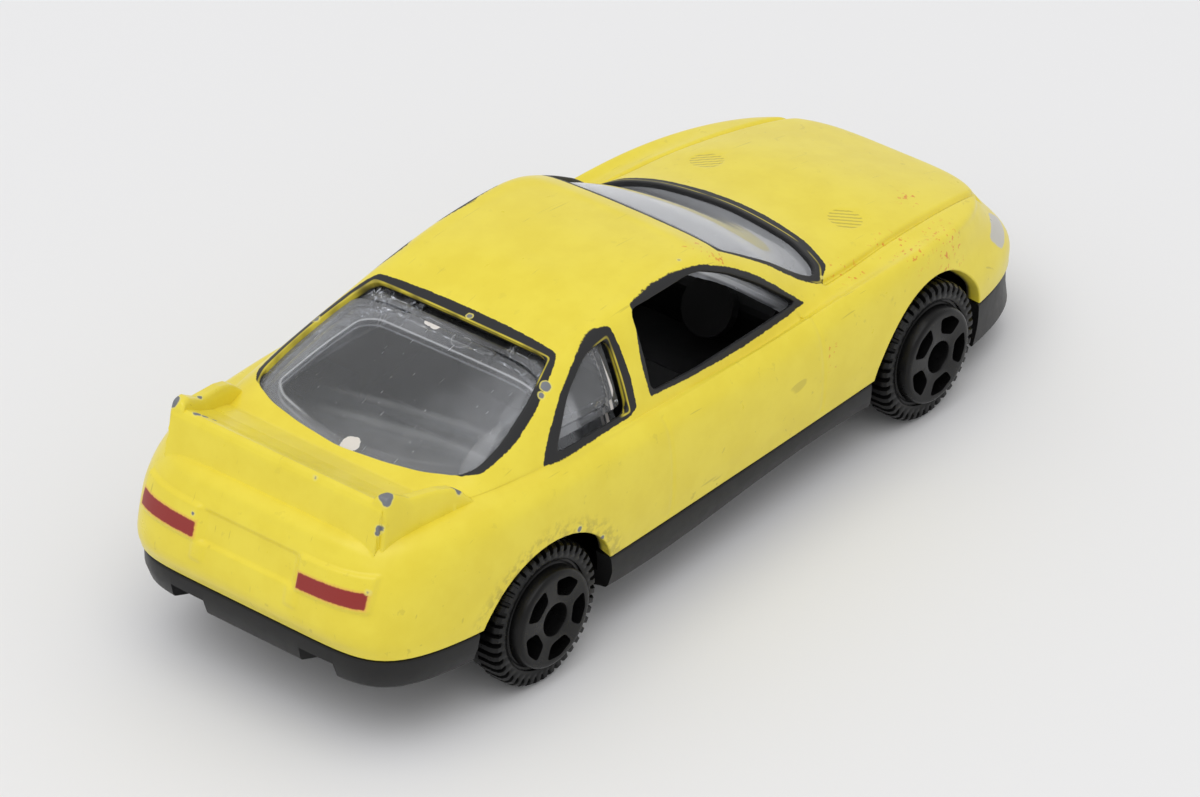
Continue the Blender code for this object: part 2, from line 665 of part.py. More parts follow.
def valance_cutters():
    """The two notches in the rear valance."""
    near, far, slope = HALF_WIDTH * 0.29, HALF_WIDTH * 0.56, 0.35 * MM
    low, high = BASE_FLOOR_HEIGHT - 1.0 * MM, VALANCE_HEIGHT + 1.2 * MM
    cutters = []
    for side, sign in SIDES:
        outline = [(near, low), (near + slope, high), (far - slope, high), (far, low)]
        outline = [(sign * y, z) for y, z in outline]
        cutters.append(prism(f"cut valance {side}", outline, TAIL_X - 1.0 * MM, TAIL_X + 3.4 * MM, "X"))
    return cutters


def rivet_seats():
    """Bosses on the floor under the posts, with holes and sunk seats for the rivets."""
    bosses, holes = [], []
    shank, head = RIVET_SHANK_DIAMETER / 2 + AXLE_GAP, RIVET_HEAD_DIAMETER / 2 + 0.2 * MM
    seat = BASE_FLOOR_HEIGHT + RIVET_HEAD_HEIGHT + AXLE_GAP
    for end, x in POST_X.items():
        foot, below, above = (x, 0, BASE_FLOOR_HEIGHT + 0.4 * MM), (x, 0, 0), (x, 0, POST_FOOT + 1.0 * MM)
        bosses.append(cylinder(f"boss {end}", POST_DIAMETER / 2 + 0.5 * MM, foot, (x, 0, POST_FOOT), "Z"))
        holes.append(cylinder(f"cut rivet hole {end}", shank, below, above, "Z", sides=16))
        holes.append(cylinder(f"cut rivet seat {end}", head, below, (x, 0, seat), "Z"))
    return bosses, holes


def make_base(material):
    angles = ring_angles(RING_POINTS)
    rings = [ring_points(line_values(line), angles, BASE_STATIONS) for line in base_lines()]
    base = mesh_object("base_plate", loft(rings), material)
    blocks, slots = bearing_tools()
    bosses, holes = rivet_seats()
    join(base, *blocks, *bosses)
    cut(base, *arch_cutters("base"), *valance_cutters(), *slots, *holes)
    return base


# The black cabin moulding


def seat_tools(side, sign):
    """One front seat: a soft-edged cushion and a leaning back."""
    low, high = span(sign, SEAT_NEAR, SEAT_FAR)
    x, sunk = SEAT_X, CABIN_FLOOR - 0.3 * MM
    inset = 0.25 * MM
    rear_foot = (x - 2.5 * MM, low + inset, sunk - inset)
    front_top = (x + 5.0 * MM, high - inset, CABIN_FLOOR + 2.3 * MM)
    cushion = box(f"cushion {side}", rear_foot, front_top, bevel=0.5 * MM)
    back = [(x - 3.4 * MM, sunk), (x - 0.6 * MM, sunk), (x - 2.6 * MM, SEAT_TOP), (x - 4.4 * MM, SEAT_TOP)]
    return [cushion, prism(f"seat back {side}", rounded(back, 0.6 * MM, 2), low, high, "Y")]


def leg_tools(side, sign):
    """A leg that stands on the base, and the keepers that hold the axles down in their slots."""
    sunk = CABIN_FLOOR - 0.3 * MM
    low, high = span(sign, WELL_INNER_Y - 1.5 * MM, WELL_INNER_Y + 0.7 * MM)
    tools = [box(f"leg {side}", (-3.0 * MM, low, BASE_FLOOR_TOP + FIT_GAP), (3.0 * MM, high, sunk))]
    low, high = span(sign, WELL_INNER_Y - 2.1 * MM, WELL_INNER_Y - 0.4 * MM)
    half = AXLE_DIAMETER * 0.45
    foot = AXLE_Z + AXLE_DIAMETER / 2 + BEARING_GAP
    for end, x in AXLE_X.items():
        tools.append(box(f"keeper {end} {side}", (x - half, low, foot), (x + half, high, sunk)))
    return tools


def dash_tool():
    x, sunk = DASH_X, CABIN_FLOOR - 0.3 * MM
    outline = [
        (x - 0.85 * DASH_DEPTH, sunk), (x, sunk), (x, COWL_HEIGHT - 3.8 * MM),
        (x - 0.7 * DASH_DEPTH, COWL_HEIGHT - 2.8 * MM), (x - DASH_DEPTH, COWL_HEIGHT - 3.7 * MM),
    ]
    return prism("dash", rounded(outline, 0.5 * MM, 2), -CABIN_HALF, CABIN_HALF, "Y")


def bench_tool():
    """The rear bench with the parcel shelf behind it."""
    x, sunk = REAR_AXLE_X + 4.6 * MM, CABIN_FLOOR - 0.3 * MM
    outline = [
        (x - 6.6 * MM, sunk), (x + 3.2 * MM, sunk), (x + 3.2 * MM, CABIN_FLOOR + 2.2 * MM),
        (x - 1.2 * MM, CABIN_FLOOR + 1.9 * MM), (x - 2.9 * MM, DECK_HEIGHT - 1.9 * MM),
        (x - 7.2 * MM, DECK_HEIGHT - 2.4 * MM),
    ]
    half = CABIN_HALF - 0.2 * MM
    return prism("rear bench", rounded(outline, 0.5 * MM, 2), -half, half, "Y")


def steering_tools():
    """A leaning disc on the right and the column that carries it into the dash."""
    behind = DASH_X - DASH_DEPTH - 1.5 * MM
    centre = Vector((behind, -(SEAT_NEAR + SEAT_FAR) / 2, (CABIN_FLOOR + BELT_HEIGHT) / 2 + 0.65 * MM))
    lean = Matrix.Translation(centre) @ Matrix.Rotation(math.radians(-62.0), 4, "Y")
    tools = []
    for name, radius, low, high in (("rim", 2.2, -0.4, 0.4), ("column", 0.6, -3.8, 0.1)):
        bm = bmesh.new()
        bmesh.ops.create_cone(
            bm, cap_ends=True, segments=16, radius1=radius * MM, radius2=radius * MM, depth=(high - low) * MM,
            matrix=lean @ Matrix.Translation((0, 0, (low + high) / 2 * MM)),
        )
        tools.append(mesh_object(f"steering {name}", bm))
    return tools


def make_cabin(material):
    """One moulding: a floor, narrow between the wheels, with all the cabin's fittings on it."""
    low_x, high_x = REAR_AXLE_X - 3.6 * MM, FRONT_AXLE_X + 1.6 * MM
    narrow, wide = WELL_INNER_Y - 0.35 * MM, HALF_WIDTH - SHELL_WALL - 0.8 * MM
    step_rear = REAR_AXLE_X + ARCH_HALF_LENGTH + 0.5 * MM
    step_front = FRONT_AXLE_X - ARCH_HALF_LENGTH - 0.5 * MM
    half = [
        (low_x, narrow), (step_rear, narrow), (step_rear, wide),
        (step_front, wide), (step_front, narrow), (high_x, narrow),
    ]
    outline = rounded(half + [(x, -y) for x, y in reversed(half)], 0.6 * MM, 2)
    cabin = prism("interior_tub", outline, CABIN_FLOOR - FLOOR_THICKNESS, CABIN_FLOOR, "Z", material)
    fittings = [dash_tool(), bench_tool(), *steering_tools()]
    for side, sign in SIDES:
        fittings += seat_tools(side, sign) + leg_tools(side, sign)
    join(cabin, *fittings)
    return cabin


# Wheels, axles and rivets


def tread_outline():
    """The rim of a wheel seen from the side: blocks parted by narrow slots."""
    points = []
    outer, inner = WHEEL_DIAMETER / 2, WHEEL_DIAMETER / 2 - TREAD_DEPTH
    pitch = 2 * math.pi / TREAD_BLOCKS
    for i in range(TREAD_BLOCKS):
        middle = -math.pi / 2 + i * pitch
        for share, radius in ((-0.30, outer), (0.30, outer), (0.36, inner), (0.64, inner)):
            angle = middle + share * pitch
            points.append((radius * math.cos(angle), radius * math.sin(angle)))
    return points


def spoke_windows(x, low, high, name):
    """The openings between the spokes, as wedges with rounded corners."""
    inner, outer = 1.95 * MM, DISC_DIAMETER / 2 - 0.45 * MM
    tools = []
    for i in range(SPOKES):
        middle = math.radians(62.0) + i * 2 * math.pi / SPOKES
        corners = []
        for radius, spread in ((inner, -0.36), (outer, -0.38), (outer, 0.38), (inner, 0.36)):
            angle = middle + spread
            corners.append((x + radius * math.cos(angle), AXLE_Z + radius * math.sin(angle)))
        tools.append(prism(f"{name} window {i}", rounded(corners, 0.35 * MM, 2), low, high, "Y"))
    return tools


def make_wheel(end, side, sign, material):
    """One moulded wheel: treaded rim, raised spoked disc, hollow back and a hub pressed on the axle."""
    x = AXLE_X[end]
    name = f"{end}_{side}_wheel"
    inner, outer = sign * WHEEL_INNER_Y, sign * WHEEL_OUTER_Y
    face = outer + sign * DISC_PROUD
    clear_of = sign * 1.0 * MM

    def bar(label, radius, low, high, sides):
        return cylinder(f"{name} {label}", radius, (x, low, AXLE_Z), (x, high, AXLE_Z), "Y", sides=sides)

    web = outer - sign * 0.9 * MM
    wheel = prism(name, [(x + p[0], AXLE_Z + p[1]) for p in tread_outline()], inner, outer, "Y", material)
    join(wheel, bar("disc", DISC_DIAMETER / 2, outer - sign * 0.5 * MM, face, 28))
    hollow = bar("hollow", DISC_DIAMETER / 2 - 0.1 * MM, inner - clear_of, web, 28)
    cut(wheel, hollow, *spoke_windows(x, *sorted((inner, face + clear_of)), name))
    join(wheel, bar("hub", 1.45 * MM, inner, outer - sign * 0.5 * MM, 20))
    bore = bar("bore", AXLE_DIAMETER / 2 + AXLE_GAP, inner - clear_of, outer, 20)
    hole = bar("hole", HUB_HOLE_DIAMETER / 2, outer - sign * 0.6 * MM, face + clear_of, 20)
    cut(wheel, bore, hole)
    set_origin(wheel, (x, outer, AXLE_Z))
    return wheel


def make_axle(end, material):
    x, reach = AXLE_X[end], WHEEL_OUTER_Y - 0.7 * MM
    low, high = (x, -reach, AXLE_Z), (x, reach, AXLE_Z)
    axle = cylinder(f"{end}_axle", AXLE_DIAMETER / 2, low, high, "Y", material, sides=20)
    set_origin(axle, (x, 0.0, AXLE_Z))
    return axle


def make_rivet(end, material):
    """A domed rivet, turned about its own axis: shank up into the post, head under the base."""
    head, shank = RIVET_HEAD_DIAMETER / 2, RIVET_SHANK_DIAMETER / 2
    under, seat = BASE_FLOOR_HEIGHT + AXLE_GAP, BASE_FLOOR_HEIGHT + RIVET_HEAD_HEIGHT
    rim, dome = seat - 0.35 * RIVET_HEAD_HEIGHT, under + 0.1 * RIVET_HEAD_HEIGHT
    profile = [
        (0.0, RIVET_TIP), (0.8 * shank, RIVET_TIP), (shank, RIVET_TIP - 0.25 * shank), (shank, seat),
        (head, seat), (head, rim), (0.7 * head, dome), (0.0, under),
    ]
    bm = bmesh.new()
    verts = [bm.verts.new((r, 0.0, z)) for r, z in profile]
    edges = [bm.edges.new(pair) for pair in zip(verts, verts[1:])]
    turn = {"cent": (0, 0, 0), "axis": (0, 0, 1), "angle": 2 * math.pi, "steps": 16}
    bmesh.ops.spin(bm, geom=[*verts, *edges], use_merge=True, **turn)
    bmesh.ops.remove_doubles(bm, verts=bm.verts, dist=1e-7)
    bmesh.ops.translate(bm, verts=bm.verts, vec=(POST_X[end], 0, 0))
    return mesh_object(f"{end}_rivet", bm, material)


clear_scene()
PARTS = make_collection("die-cast sports car")
CUTTERS = make_collection("cutters")

paint = make_material("yellow enamel", (0.86, 0.70, 0.05), 0.28)
black = make_material("black plastic", (0.022, 0.022, 0.024), 0.45)
clear = make_material("clear plastic", (0.93, 0.94, 0.94), 0.06, transmission=1.0)
steel = make_material("bright steel", (0.60, 0.60, 0.60), 0.30, metallic=1.0)

make_shell(paint)
make_windows(clear)
make_base(black)
make_cabin(black)
for axle_end in AXLE_X:
    make_axle(axle_end, steel)
    make_rivet(axle_end, steel)
    for wheel_side, wheel_sign in SIDES:
        make_wheel(axle_end, wheel_side, wheel_sign, black)
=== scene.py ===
"""Looks of a die-cast toy sports coupe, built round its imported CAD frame.

Lengths are in millimetres here, and a piece becomes metres when it is finished.
Frame: +X to the nose, +Y to the car's left, +Z up, with the ground at zero.
"""

import json
import math

import bmesh
import bpy
import numpy as np
from mathutils import Matrix, Vector

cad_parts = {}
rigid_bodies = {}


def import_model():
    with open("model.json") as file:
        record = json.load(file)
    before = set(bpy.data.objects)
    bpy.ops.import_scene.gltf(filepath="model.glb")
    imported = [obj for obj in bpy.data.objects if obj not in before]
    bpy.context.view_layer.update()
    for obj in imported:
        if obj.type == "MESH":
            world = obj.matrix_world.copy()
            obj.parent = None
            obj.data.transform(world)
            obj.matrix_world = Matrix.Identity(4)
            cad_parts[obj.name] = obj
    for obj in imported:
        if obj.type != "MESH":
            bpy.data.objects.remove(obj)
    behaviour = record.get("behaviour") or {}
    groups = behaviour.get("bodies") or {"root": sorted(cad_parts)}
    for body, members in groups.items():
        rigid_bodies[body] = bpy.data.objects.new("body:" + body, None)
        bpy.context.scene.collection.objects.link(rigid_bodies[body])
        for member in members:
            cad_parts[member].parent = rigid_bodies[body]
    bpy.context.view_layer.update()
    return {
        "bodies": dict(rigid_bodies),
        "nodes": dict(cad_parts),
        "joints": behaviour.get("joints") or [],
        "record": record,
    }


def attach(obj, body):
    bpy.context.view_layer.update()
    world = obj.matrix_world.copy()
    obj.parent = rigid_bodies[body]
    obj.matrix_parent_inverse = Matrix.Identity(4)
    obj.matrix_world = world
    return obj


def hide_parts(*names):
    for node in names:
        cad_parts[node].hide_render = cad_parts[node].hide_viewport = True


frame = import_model()

MM = 0.001

# Sizes of the car, as in the CAD part
FRONT_AXLE_X = 21.25
REAR_AXLE_X = -21.25
AXLE_Z = 5.3
TAIL_X = -37.0
ARCH_HALF_LENGTH = 6.85
ARCH_HALF_HEIGHT = 6.05
WELL_INNER_Y = 8.9
WING_X = -33.1
WHEEL_INNER_Y = 9.5
DISC_FACE_Y = 13.95
POST_X = (29.65, -28.15)

# The closed lines round the body, from the split edge to the crown of the roof. A row holds the reach to
# the nose and the tail, the half-width in the middle, in front and behind, how square the front and rear
# corners are, the bow of the front and the rear, the fall of the front corners, and the heights from the
# tail to the nose.
BODY_LINES = np.array(
    [
        [36.85, -36.4, 13.35, 13.35, 13.35, 4.9, 7.4, 0.0, 0.0, 0.0, 8.25, 7.0, 6.5, 6.3, 5.8],
        [37.0, -37.0, 13.6, 13.6, 13.6, 4.5, 6.4, 0.0, 0.0, 0.0, 9.9, 9.0, 8.6, 8.4, 7.4],
        [35.65, -36.25, 13.6, 13.6, 13.6, 3.8, 6.2, 0.0, 0.0, 0.0, 12.8, 11.9, 11.2, 10.7, 9.5],
        [34.45, -35.5, 13.25, 13.25, 13.25, 3.8, 5.6, 0.0, 0.0, 0.0, 14.8, 14.3, 13.2, 12.7, 10.9],
        [32.85, -34.5, 12.5, 12.5, 12.5, 4.2, 5.2, 0.0, 0.0, -0.1, 15.9, 15.3, 14.4, 13.75, 11.8],
        [24.175, -31.025, 12.05, 11.45, 11.05, 4.6, 5.6, 0.8, 0.4, 0.7, 16.3, 15.6, 14.7, 14.3, 14.3],
        [14.95, -27.85, 11.7, 11.0, 10.7, 7.0, 9.0, 1.5, 0.7, 1.0, 16.4, 16.1, 15.0, 14.9, 15.6],
        [9.0, -21.25, 10.475, 9.875, 9.475, 7.5, 9.0, 1.0, 0.5, 0.5, 18.7, 18.3, 18.05, 18.1, 18.35],
        [3.05, -14.65, 8.75, 8.55, 8.25, 9.0, 10.0, 0.3, 0.3, 0.1, 20.45, 20.75, 21.0, 21.05, 20.85],
        [1.05, -12.65, 7.05, 6.85, 6.85, 6.0, 6.0, 0.2, 0.3, 0.0, 20.95, 21.3, 21.48, 21.48, 21.3],
        [-2.6, -9.0, 3.5, 3.5, 3.5, 3.0, 3.0, 0.0, 0.0, 0.0, 21.78, 21.82, 21.84, 21.82, 21.78],
        [-5.3, -6.3, 0.437, 0.437, 0.437, 2.0, 2.0, 0.0, 0.0, 0.0, 21.9, 21.9, 21.9, 21.9, 21.9],
    ]
)
# How far each of those lines moves in and down for a wall of one millimetre
BODY_SHARES = np.array(
    [
        [1.0, 0.0], [1.0, 0.0], [1.0, 0.1], [1.0, 0.5], [0.9, 1.0], [0.5, 1.0],
        [0.6, 0.8], [0.8, 0.5], [0.7, 0.7], [0.4, 1.0], [0.1, 1.0], [0.0, 1.0],
    ]
)
BODY_STATIONS = np.array([-1.0, -0.57, 0.0, 0.57, 1.0])
CABIN_LEVEL = 6

# The black base: stations along it, its foot's heights above the ground there, its floor's underside and top,
# its gap to the shell's sides, its wall, and its rim's gap under the split edge
BASE_STATIONS = np.array([-1.0, -0.62, -0.4, 0.4, 0.62, 1.0])
BASE_FOOT = [5.6, 4.7, 3.9, 3.9, 2.7, 2.5]
BASE_FLOOR, BASE_FLOOR_TOP, BASE_GAP, BASE_WALL, RIM_GAP = 3.5, 4.8, 0.15, 1.3, 0.3

# Window openings and the outer edges of their black frames: sides seen from the side as (x, z), ends seen
# from above as (x, y)
DOOR_WINDOW = [
    (-8.1, 15.77), (-3.0, 15.24), (8.8, 14.74), (5.6, 17.52), (2.95, 19.4), (0.35, 20.7), (-1.2, 20.95),
    (-7.3, 21.05),
]
DOOR_FRAME = [
    (-6.9, 21.2), (-8.15, 18.0), (-8.25, 15.62), (-3.0, 15.0), (1.4, 14.62), (6.0, 14.48), (9.4, 14.4),
    (8.0, 15.8), (5.9, 17.75), (3.2, 19.6), (0.5, 20.9), (-0.9, 21.25), (-3.2, 21.42), (-5.2, 21.42),
]
QUARTER_WINDOW = [(-18.3, 15.94), (-10.45, 15.53), (-9.9, 20.4), (-12.4, 20.1), (-15.3, 18.54)]
QUARTER_FRAME = [
    (-9.35, 20.75), (-10.6, 20.97), (-12.2, 20.6), (-15.6, 18.9), (-18.7, 16.7), (-19.6, 15.75),
    (-18.4, 15.5), (-10.4, 15.33), (-9.75, 15.6), (-9.4, 18.2),
]


def mirrored(half, tip):
    """An outline from its left half and a point on the middle."""
    return [*half, (tip, 0.0), *((x, -y) for x, y in reversed(half))]


WINDSCREEN = mirrored([(3.59, 7.8), (11.98, 9.85), (13.1, 8.9), (14.06, 6.2)], 14.53)
WINDSCREEN_FRAME = mirrored([(3.3, 7.95), (12.0, 10.35), (13.9, 9.3), (14.85, 6.9), (15.5, 2.5)], 15.6)
REAR_WINDOW = mirrored(
    [
        (-14.45, 7.85), (-17.95, 9.0), (-21.51, 9.65), (-24.02, 9.65), (-25.41, 9.0), (-26.4, 6.8),
        (-26.99, 3.8),
    ],
    -27.39,
)
REAR_FRAME = mirrored(
    [
        (-13.6, 2.8), (-13.9, 7.9), (-14.5, 8.35), (-17.5, 9.45), (-20.3, 10.05), (-22.5, 10.15),
        (-24.2, 9.95), (-25.2, 9.2), (-26.1, 6.6), (-26.7, 3.6),
    ],
    -27.0,
)
CORNER_POWER = 4.9
WINDOW_CORNER = 0.8
SHELL_WALL = 1.15
CABIN_WALL = 0.62
CABIN_BELT = 13.8
RIM_LIP = 0.12
INNER_SHARE = 0.57
GLAZING_WALL = 0.8
GLAZING_DEPTH = 1.55


# The body's surface


def smooth(knots, rows, at):
    """Smooth curves through rows of values at the knots, read at each place."""
    slopes = np.gradient(rows, knots, axis=0)
    index = np.clip(np.searchsorted(knots, at, side="right") - 1, 0, len(knots) - 2)
    gap = (knots[index + 1] - knots[index])[:, None]
    u = (at - knots[index])[:, None] / gap
    return (
        rows[index] * (2 * u**3 - 3 * u**2 + 1)
        + slopes[index] * gap * (u**3 - 2 * u**2 + u)
        + rows[index + 1] * (3 * u**2 - 2 * u**3)
        + slopes[index + 1] * gap * (u**3 - u**2)
    )


def height_along(stations, heights, along):
    """Each row of heights read at its own place along the car."""
    slopes = np.gradient(heights, stations, axis=1)
    index = np.clip(np.searchsorted(stations, along, side="right") - 1, 0, len(stations) - 2)
    rows = np.arange(len(along))
    gap = stations[index + 1] - stations[index]
    u = (along - stations[index]) / gap
    return (
        heights[rows, index] * (2 * u**3 - 3 * u**2 + 1)
        + slopes[rows, index] * gap * (u**3 - 2 * u**2 + u)
        + heights[rows, index + 1] * (3 * u**2 - 2 * u**3)
        + slopes[rows, index + 1] * gap * (u**3 - u**2)
    )


def skin(lines, stations, level, angle, inside=0.0):
    """Points on a lofted surface, by level up the lines and angle round the car, moved in by a wall."""
    values = smooth(np.arange(len(lines), dtype=float), lines, level)
    if len(lines) == len(BODY_SHARES):
        shares = smooth(np.arange(len(lines), dtype=float), BODY_SHARES, level) * np.asarray(inside)
        values[:, 0] -= shares[:, 0]
        values[:, 1] += shares[:, 0]
        values[:, 2:5] -= shares[:, :1]
        values[:, 10:] -= shares[:, 1:]
    cosine, sine = np.cos(angle), np.sin(angle)
    along = np.sign(cosine) * np.abs(cosine) ** (2 / CORNER_POWER)
    across = np.sign(sine) * np.abs(sine) ** (2 / CORNER_POWER)
    power = np.where(along > 0.0, values[:, 5], values[:, 6])
    reach = (np.abs(along) ** power + np.abs(across) ** power) ** (-1 / power)
    along, across = along * reach, across * reach
    ahead, behind = np.maximum(along, 0.0), np.maximum(-along, 0.0)
    half = values[:, 2]
    width = half + (values[:, 3] - half) * ahead**2 + (values[:, 4] - half) * behind**2
    x = (values[:, 0] + values[:, 1]) / 2 + (values[:, 0] - values[:, 1]) / 2 * along
    x = x - values[:, 7] * ahead * across**2 + values[:, 8] * behind * across**2
    z = height_along(stations, values[:, 10:], along) - values[:, 9] * ahead * across**2
    return np.stack([x, width * across, z], axis=1)


def even_angles(count):
    """Angles that space points evenly round the car. They start in the middle of the left door."""
    dense = np.linspace(0.0, math.pi / 2, 2000)
    along = -TAIL_X * np.cos(dense) ** (2 / CORNER_POWER)
    across = 13.6 * np.sin(dense) ** (2 / CORNER_POWER)
    run = np.concatenate([[0.0], np.cumsum(np.hypot(np.diff(along), np.diff(across)))])
    shares = (np.arange(count // 4) + 0.5) / (count // 4)
    quarter = np.interp(shares * run[-1], run, dense)
    half = np.concatenate([quarter, math.pi - quarter[::-1]])
    full = np.concatenate([half, half + math.pi])
    start = int(np.searchsorted(full, math.pi / 2))
    turned = np.concatenate([full[start:], full[:start] + 2 * math.pi])
    return np.append(turned, turned[0] + 2 * math.pi)


def lofted_sheet(lines, stations, levels, columns, inside=0.0):
    """A mesh sheet over a lofted surface, closed round the car, that keeps each point's level and angle."""
    bm = bmesh.new()
    angles = even_angles(columns)
    bmesh.ops.create_grid(bm, x_segments=columns, y_segments=len(levels) - 1, size=1.0)
    bm.verts.layers.float.new("level")
    bm.verts.layers.float.new("angle")
    level_of, angle_of = bm.verts.layers.float["level"], bm.verts.layers.float["angle"]
    for v in bm.verts:
        v[level_of] = levels[round((v.co.y + 1) / 2 * (len(levels) - 1))]
        v[angle_of] = angles[round((v.co.x + 1) / 2 * columns)]
    settle(bm, lines, stations, inside)
    bmesh.ops.remove_doubles(bm, verts=bm.verts, dist=1e-3)
    return bm


def settle(bm, lines, stations, inside=0.0):
    """Put every point of a sheet where its level and angle say."""
    level_of, angle_of = bm.verts.layers.float["level"], bm.verts.layers.float["angle"]
    level = np.array([v[level_of] for v in bm.verts])
    angle = np.array([v[angle_of] for v in bm.verts])
    for v, point in zip(bm.verts, skin(lines, stations, level, angle, inside)):
        v.co = point


def rounded(corners, radius, steps=4):
    """An outline with each corner turned into a short curve."""
    points = []
    for i, corner in enumerate(corners):
        corner = Vector(corner)
        before, after = Vector(corners[i - 1]), Vector(corners[(i + 1) % len(corners)])
        reach = min(radius, (before - corner).length * 0.45, (after - corner).length * 0.45)
        start = corner + (before - corner).normalized() * reach
        end = corner + (after - corner).normalized() * reach
        for k in range(steps + 1):
            u = k / steps
            points.append(start * (1 - u) ** 2 + corner * 2 * u * (1 - u) + end * u**2)
    return points


def inset_outline(corners, amount):
    """An outline moved in by the same distance on every side."""
    middle = sum((Vector(c) for c in corners), Vector((0.0, 0.0))) / len(corners)
    lines = []
    for a, b in zip(corners, corners[1:] + corners[:1]):
        a, b = Vector(a), Vector(b)
        normal = Vector(((b - a).y, (a - b).x)).normalized()
        if normal.dot(middle - a) < 0:
            normal.negate()
        lines.append((normal, normal.dot(a) + amount))
    moved = []
    for (n1, d1), (n2, d2) in zip(lines[-1:] + lines[:-1], lines):
        cross = n1.x * n2.y - n1.y * n2.x
        moved.append(((d1 * n2.y - d2 * n1.y) / cross, (n1.x * d2 - n2.x * d1) / cross))
    return moved


def in_outline(points, outline):
    """Which points lie inside a closed outline."""
    x, y = points[:, 0], points[:, 1]
    hit = np.zeros(len(points), bool)
    for a, b in zip(outline, outline[1:] + outline[:1]):
        crosses = (a[1] > y) != (b[1] > y)
        rise = b[1] - a[1] if b[1] != a[1] else 1e-12
        hit ^= crosses & (x < (b[0] - a[0]) * (y - a[1]) / rise + a[0])
    return hit


def flat(point, axis):
    """A point's two coordinates across an axis."""
    return Vector((point[0], point[2])) if axis == "Y" else Vector((point[0], point[1]))


def score(bm, faces, outline, axis, margin=0.75):
    """Cut an outline's runs into some faces, looking along an axis, and return the faces there are then."""
    faces = set(faces)
    for a, b in zip(outline, outline[1:] + outline[:1]):
        a, b = Vector(a[:2]), Vector(b[:2])
        length = (b - a).length
        if length < 1e-4:
            continue
        run = (b - a) / length
        side = Vector((run.y, -run.x))
        near = []
        for face in faces:
            offset = flat(face.calc_center_median(), axis) - a
            if -margin < offset.dot(run) < length + margin and abs(offset.dot(side)) < margin:
                near.append(face)
        if not near:
            continue
        geom = {*near, *(e for f in near for e in f.edges), *(v for f in near for v in f.verts)}
        place = (a.x, 0.0, a.y) if axis == "Y" else (a.x, a.y, 0.0)
        normal = (side.x, 0.0, side.y) if axis == "Y" else (side.x, side.y, 0.0)
        made = bmesh.ops.bisect_plane(bm, geom=list(geom), dist=1e-5, plane_co=place, plane_no=normal)
        faces.update(f for f in made["geom"] if isinstance(f, bmesh.types.BMFace))
    return list(faces)


def faces_in(faces, outline, axis):
    """The faces whose middles lie inside an outline."""
    middles = np.array([flat(f.calc_center_median(), axis) for f in faces])
    return [f for f, hit in zip(faces, in_outline(middles, [tuple(p[:2]) for p in outline])) if hit]


def faces_near(bm, outline, axis, keep):
    """The faces on and close round an outline, looking along an axis, where keep says so."""
    low = [min(p[i] for p in outline) - 1.5 for i in (0, 1)]
    high = [max(p[i] for p in outline) + 1.5 for i in (0, 1)]
    region = []
    for face in bm.faces:
        middle = face.calc_center_median()
        spot = flat(middle, axis)
        if keep(middle) and low[0] < spot.x < high[0] and low[1] < spot.y < high[1]:
            region.append(face)
    return region


def cut_opening(bm, outline, axis, keep):
    """Score an outline into the sheet where keep says so, and take out what lies inside it."""
    region = score(bm, faces_near(bm, outline, axis, keep), outline, axis)
    bmesh.ops.delete(bm, geom=faces_in(region, outline, axis), context="FACES")


def rim_edges(bm):
    return [e for e in bm.edges if len(e.link_faces) == 1]


def turn_rims(bm, rims, radius, steps=3):
    """Turn open rims in with a quarter round, and return each old rim point's last new point."""
    outward, last = {}, {}
    for edge in rims:
        face = edge.link_faces[0]
        a, b = edge.verts
        away = (b.co - a.co).cross(face.normal).normalized()
        if away.dot(face.calc_center_median() - (a.co + b.co) / 2) > 0:
            away.negate()
        for v in (a, b):
            outward[v] = outward.get(v, Vector()) + away
    start = {v: (v.co.copy(), out.normalized(), v.normal.copy()) for v, out in outward.items()}
    root = {v: v for v in outward}
    for k in range(1, steps + 1):
        turn = math.pi / 2 * k / steps
        made = bmesh.ops.extrude_edge_only(bm, edges=rims)["geom"]
        fresh = {v for v in made if isinstance(v, bmesh.types.BMVert)}
        rims = [e for e in made if isinstance(e, bmesh.types.BMEdge) and fresh.issuperset(e.verts)]
        follows = {}
        for v in fresh:
            for edge in v.link_edges:
                if edge.other_vert(v) in root:
                    follows[v] = root[edge.other_vert(v)]
        for v, source in follows.items():
            place, out, up = start[source]
            v.co = place + out * (radius * math.sin(turn)) - up * (radius * (1 - math.cos(turn)))
            last[source] = v
        root = follows
    return last


def near_wing(place):
    """Whether a place is on the wing or close to it, where the inner skin follows the plain deck."""
    along = WING_X - 1.6 < place.x < WING_X + WING_FRONT + 1.2
    return along and abs(place.y) < PLATE_OUTER_Y + 2.0 and place.z > 14.4


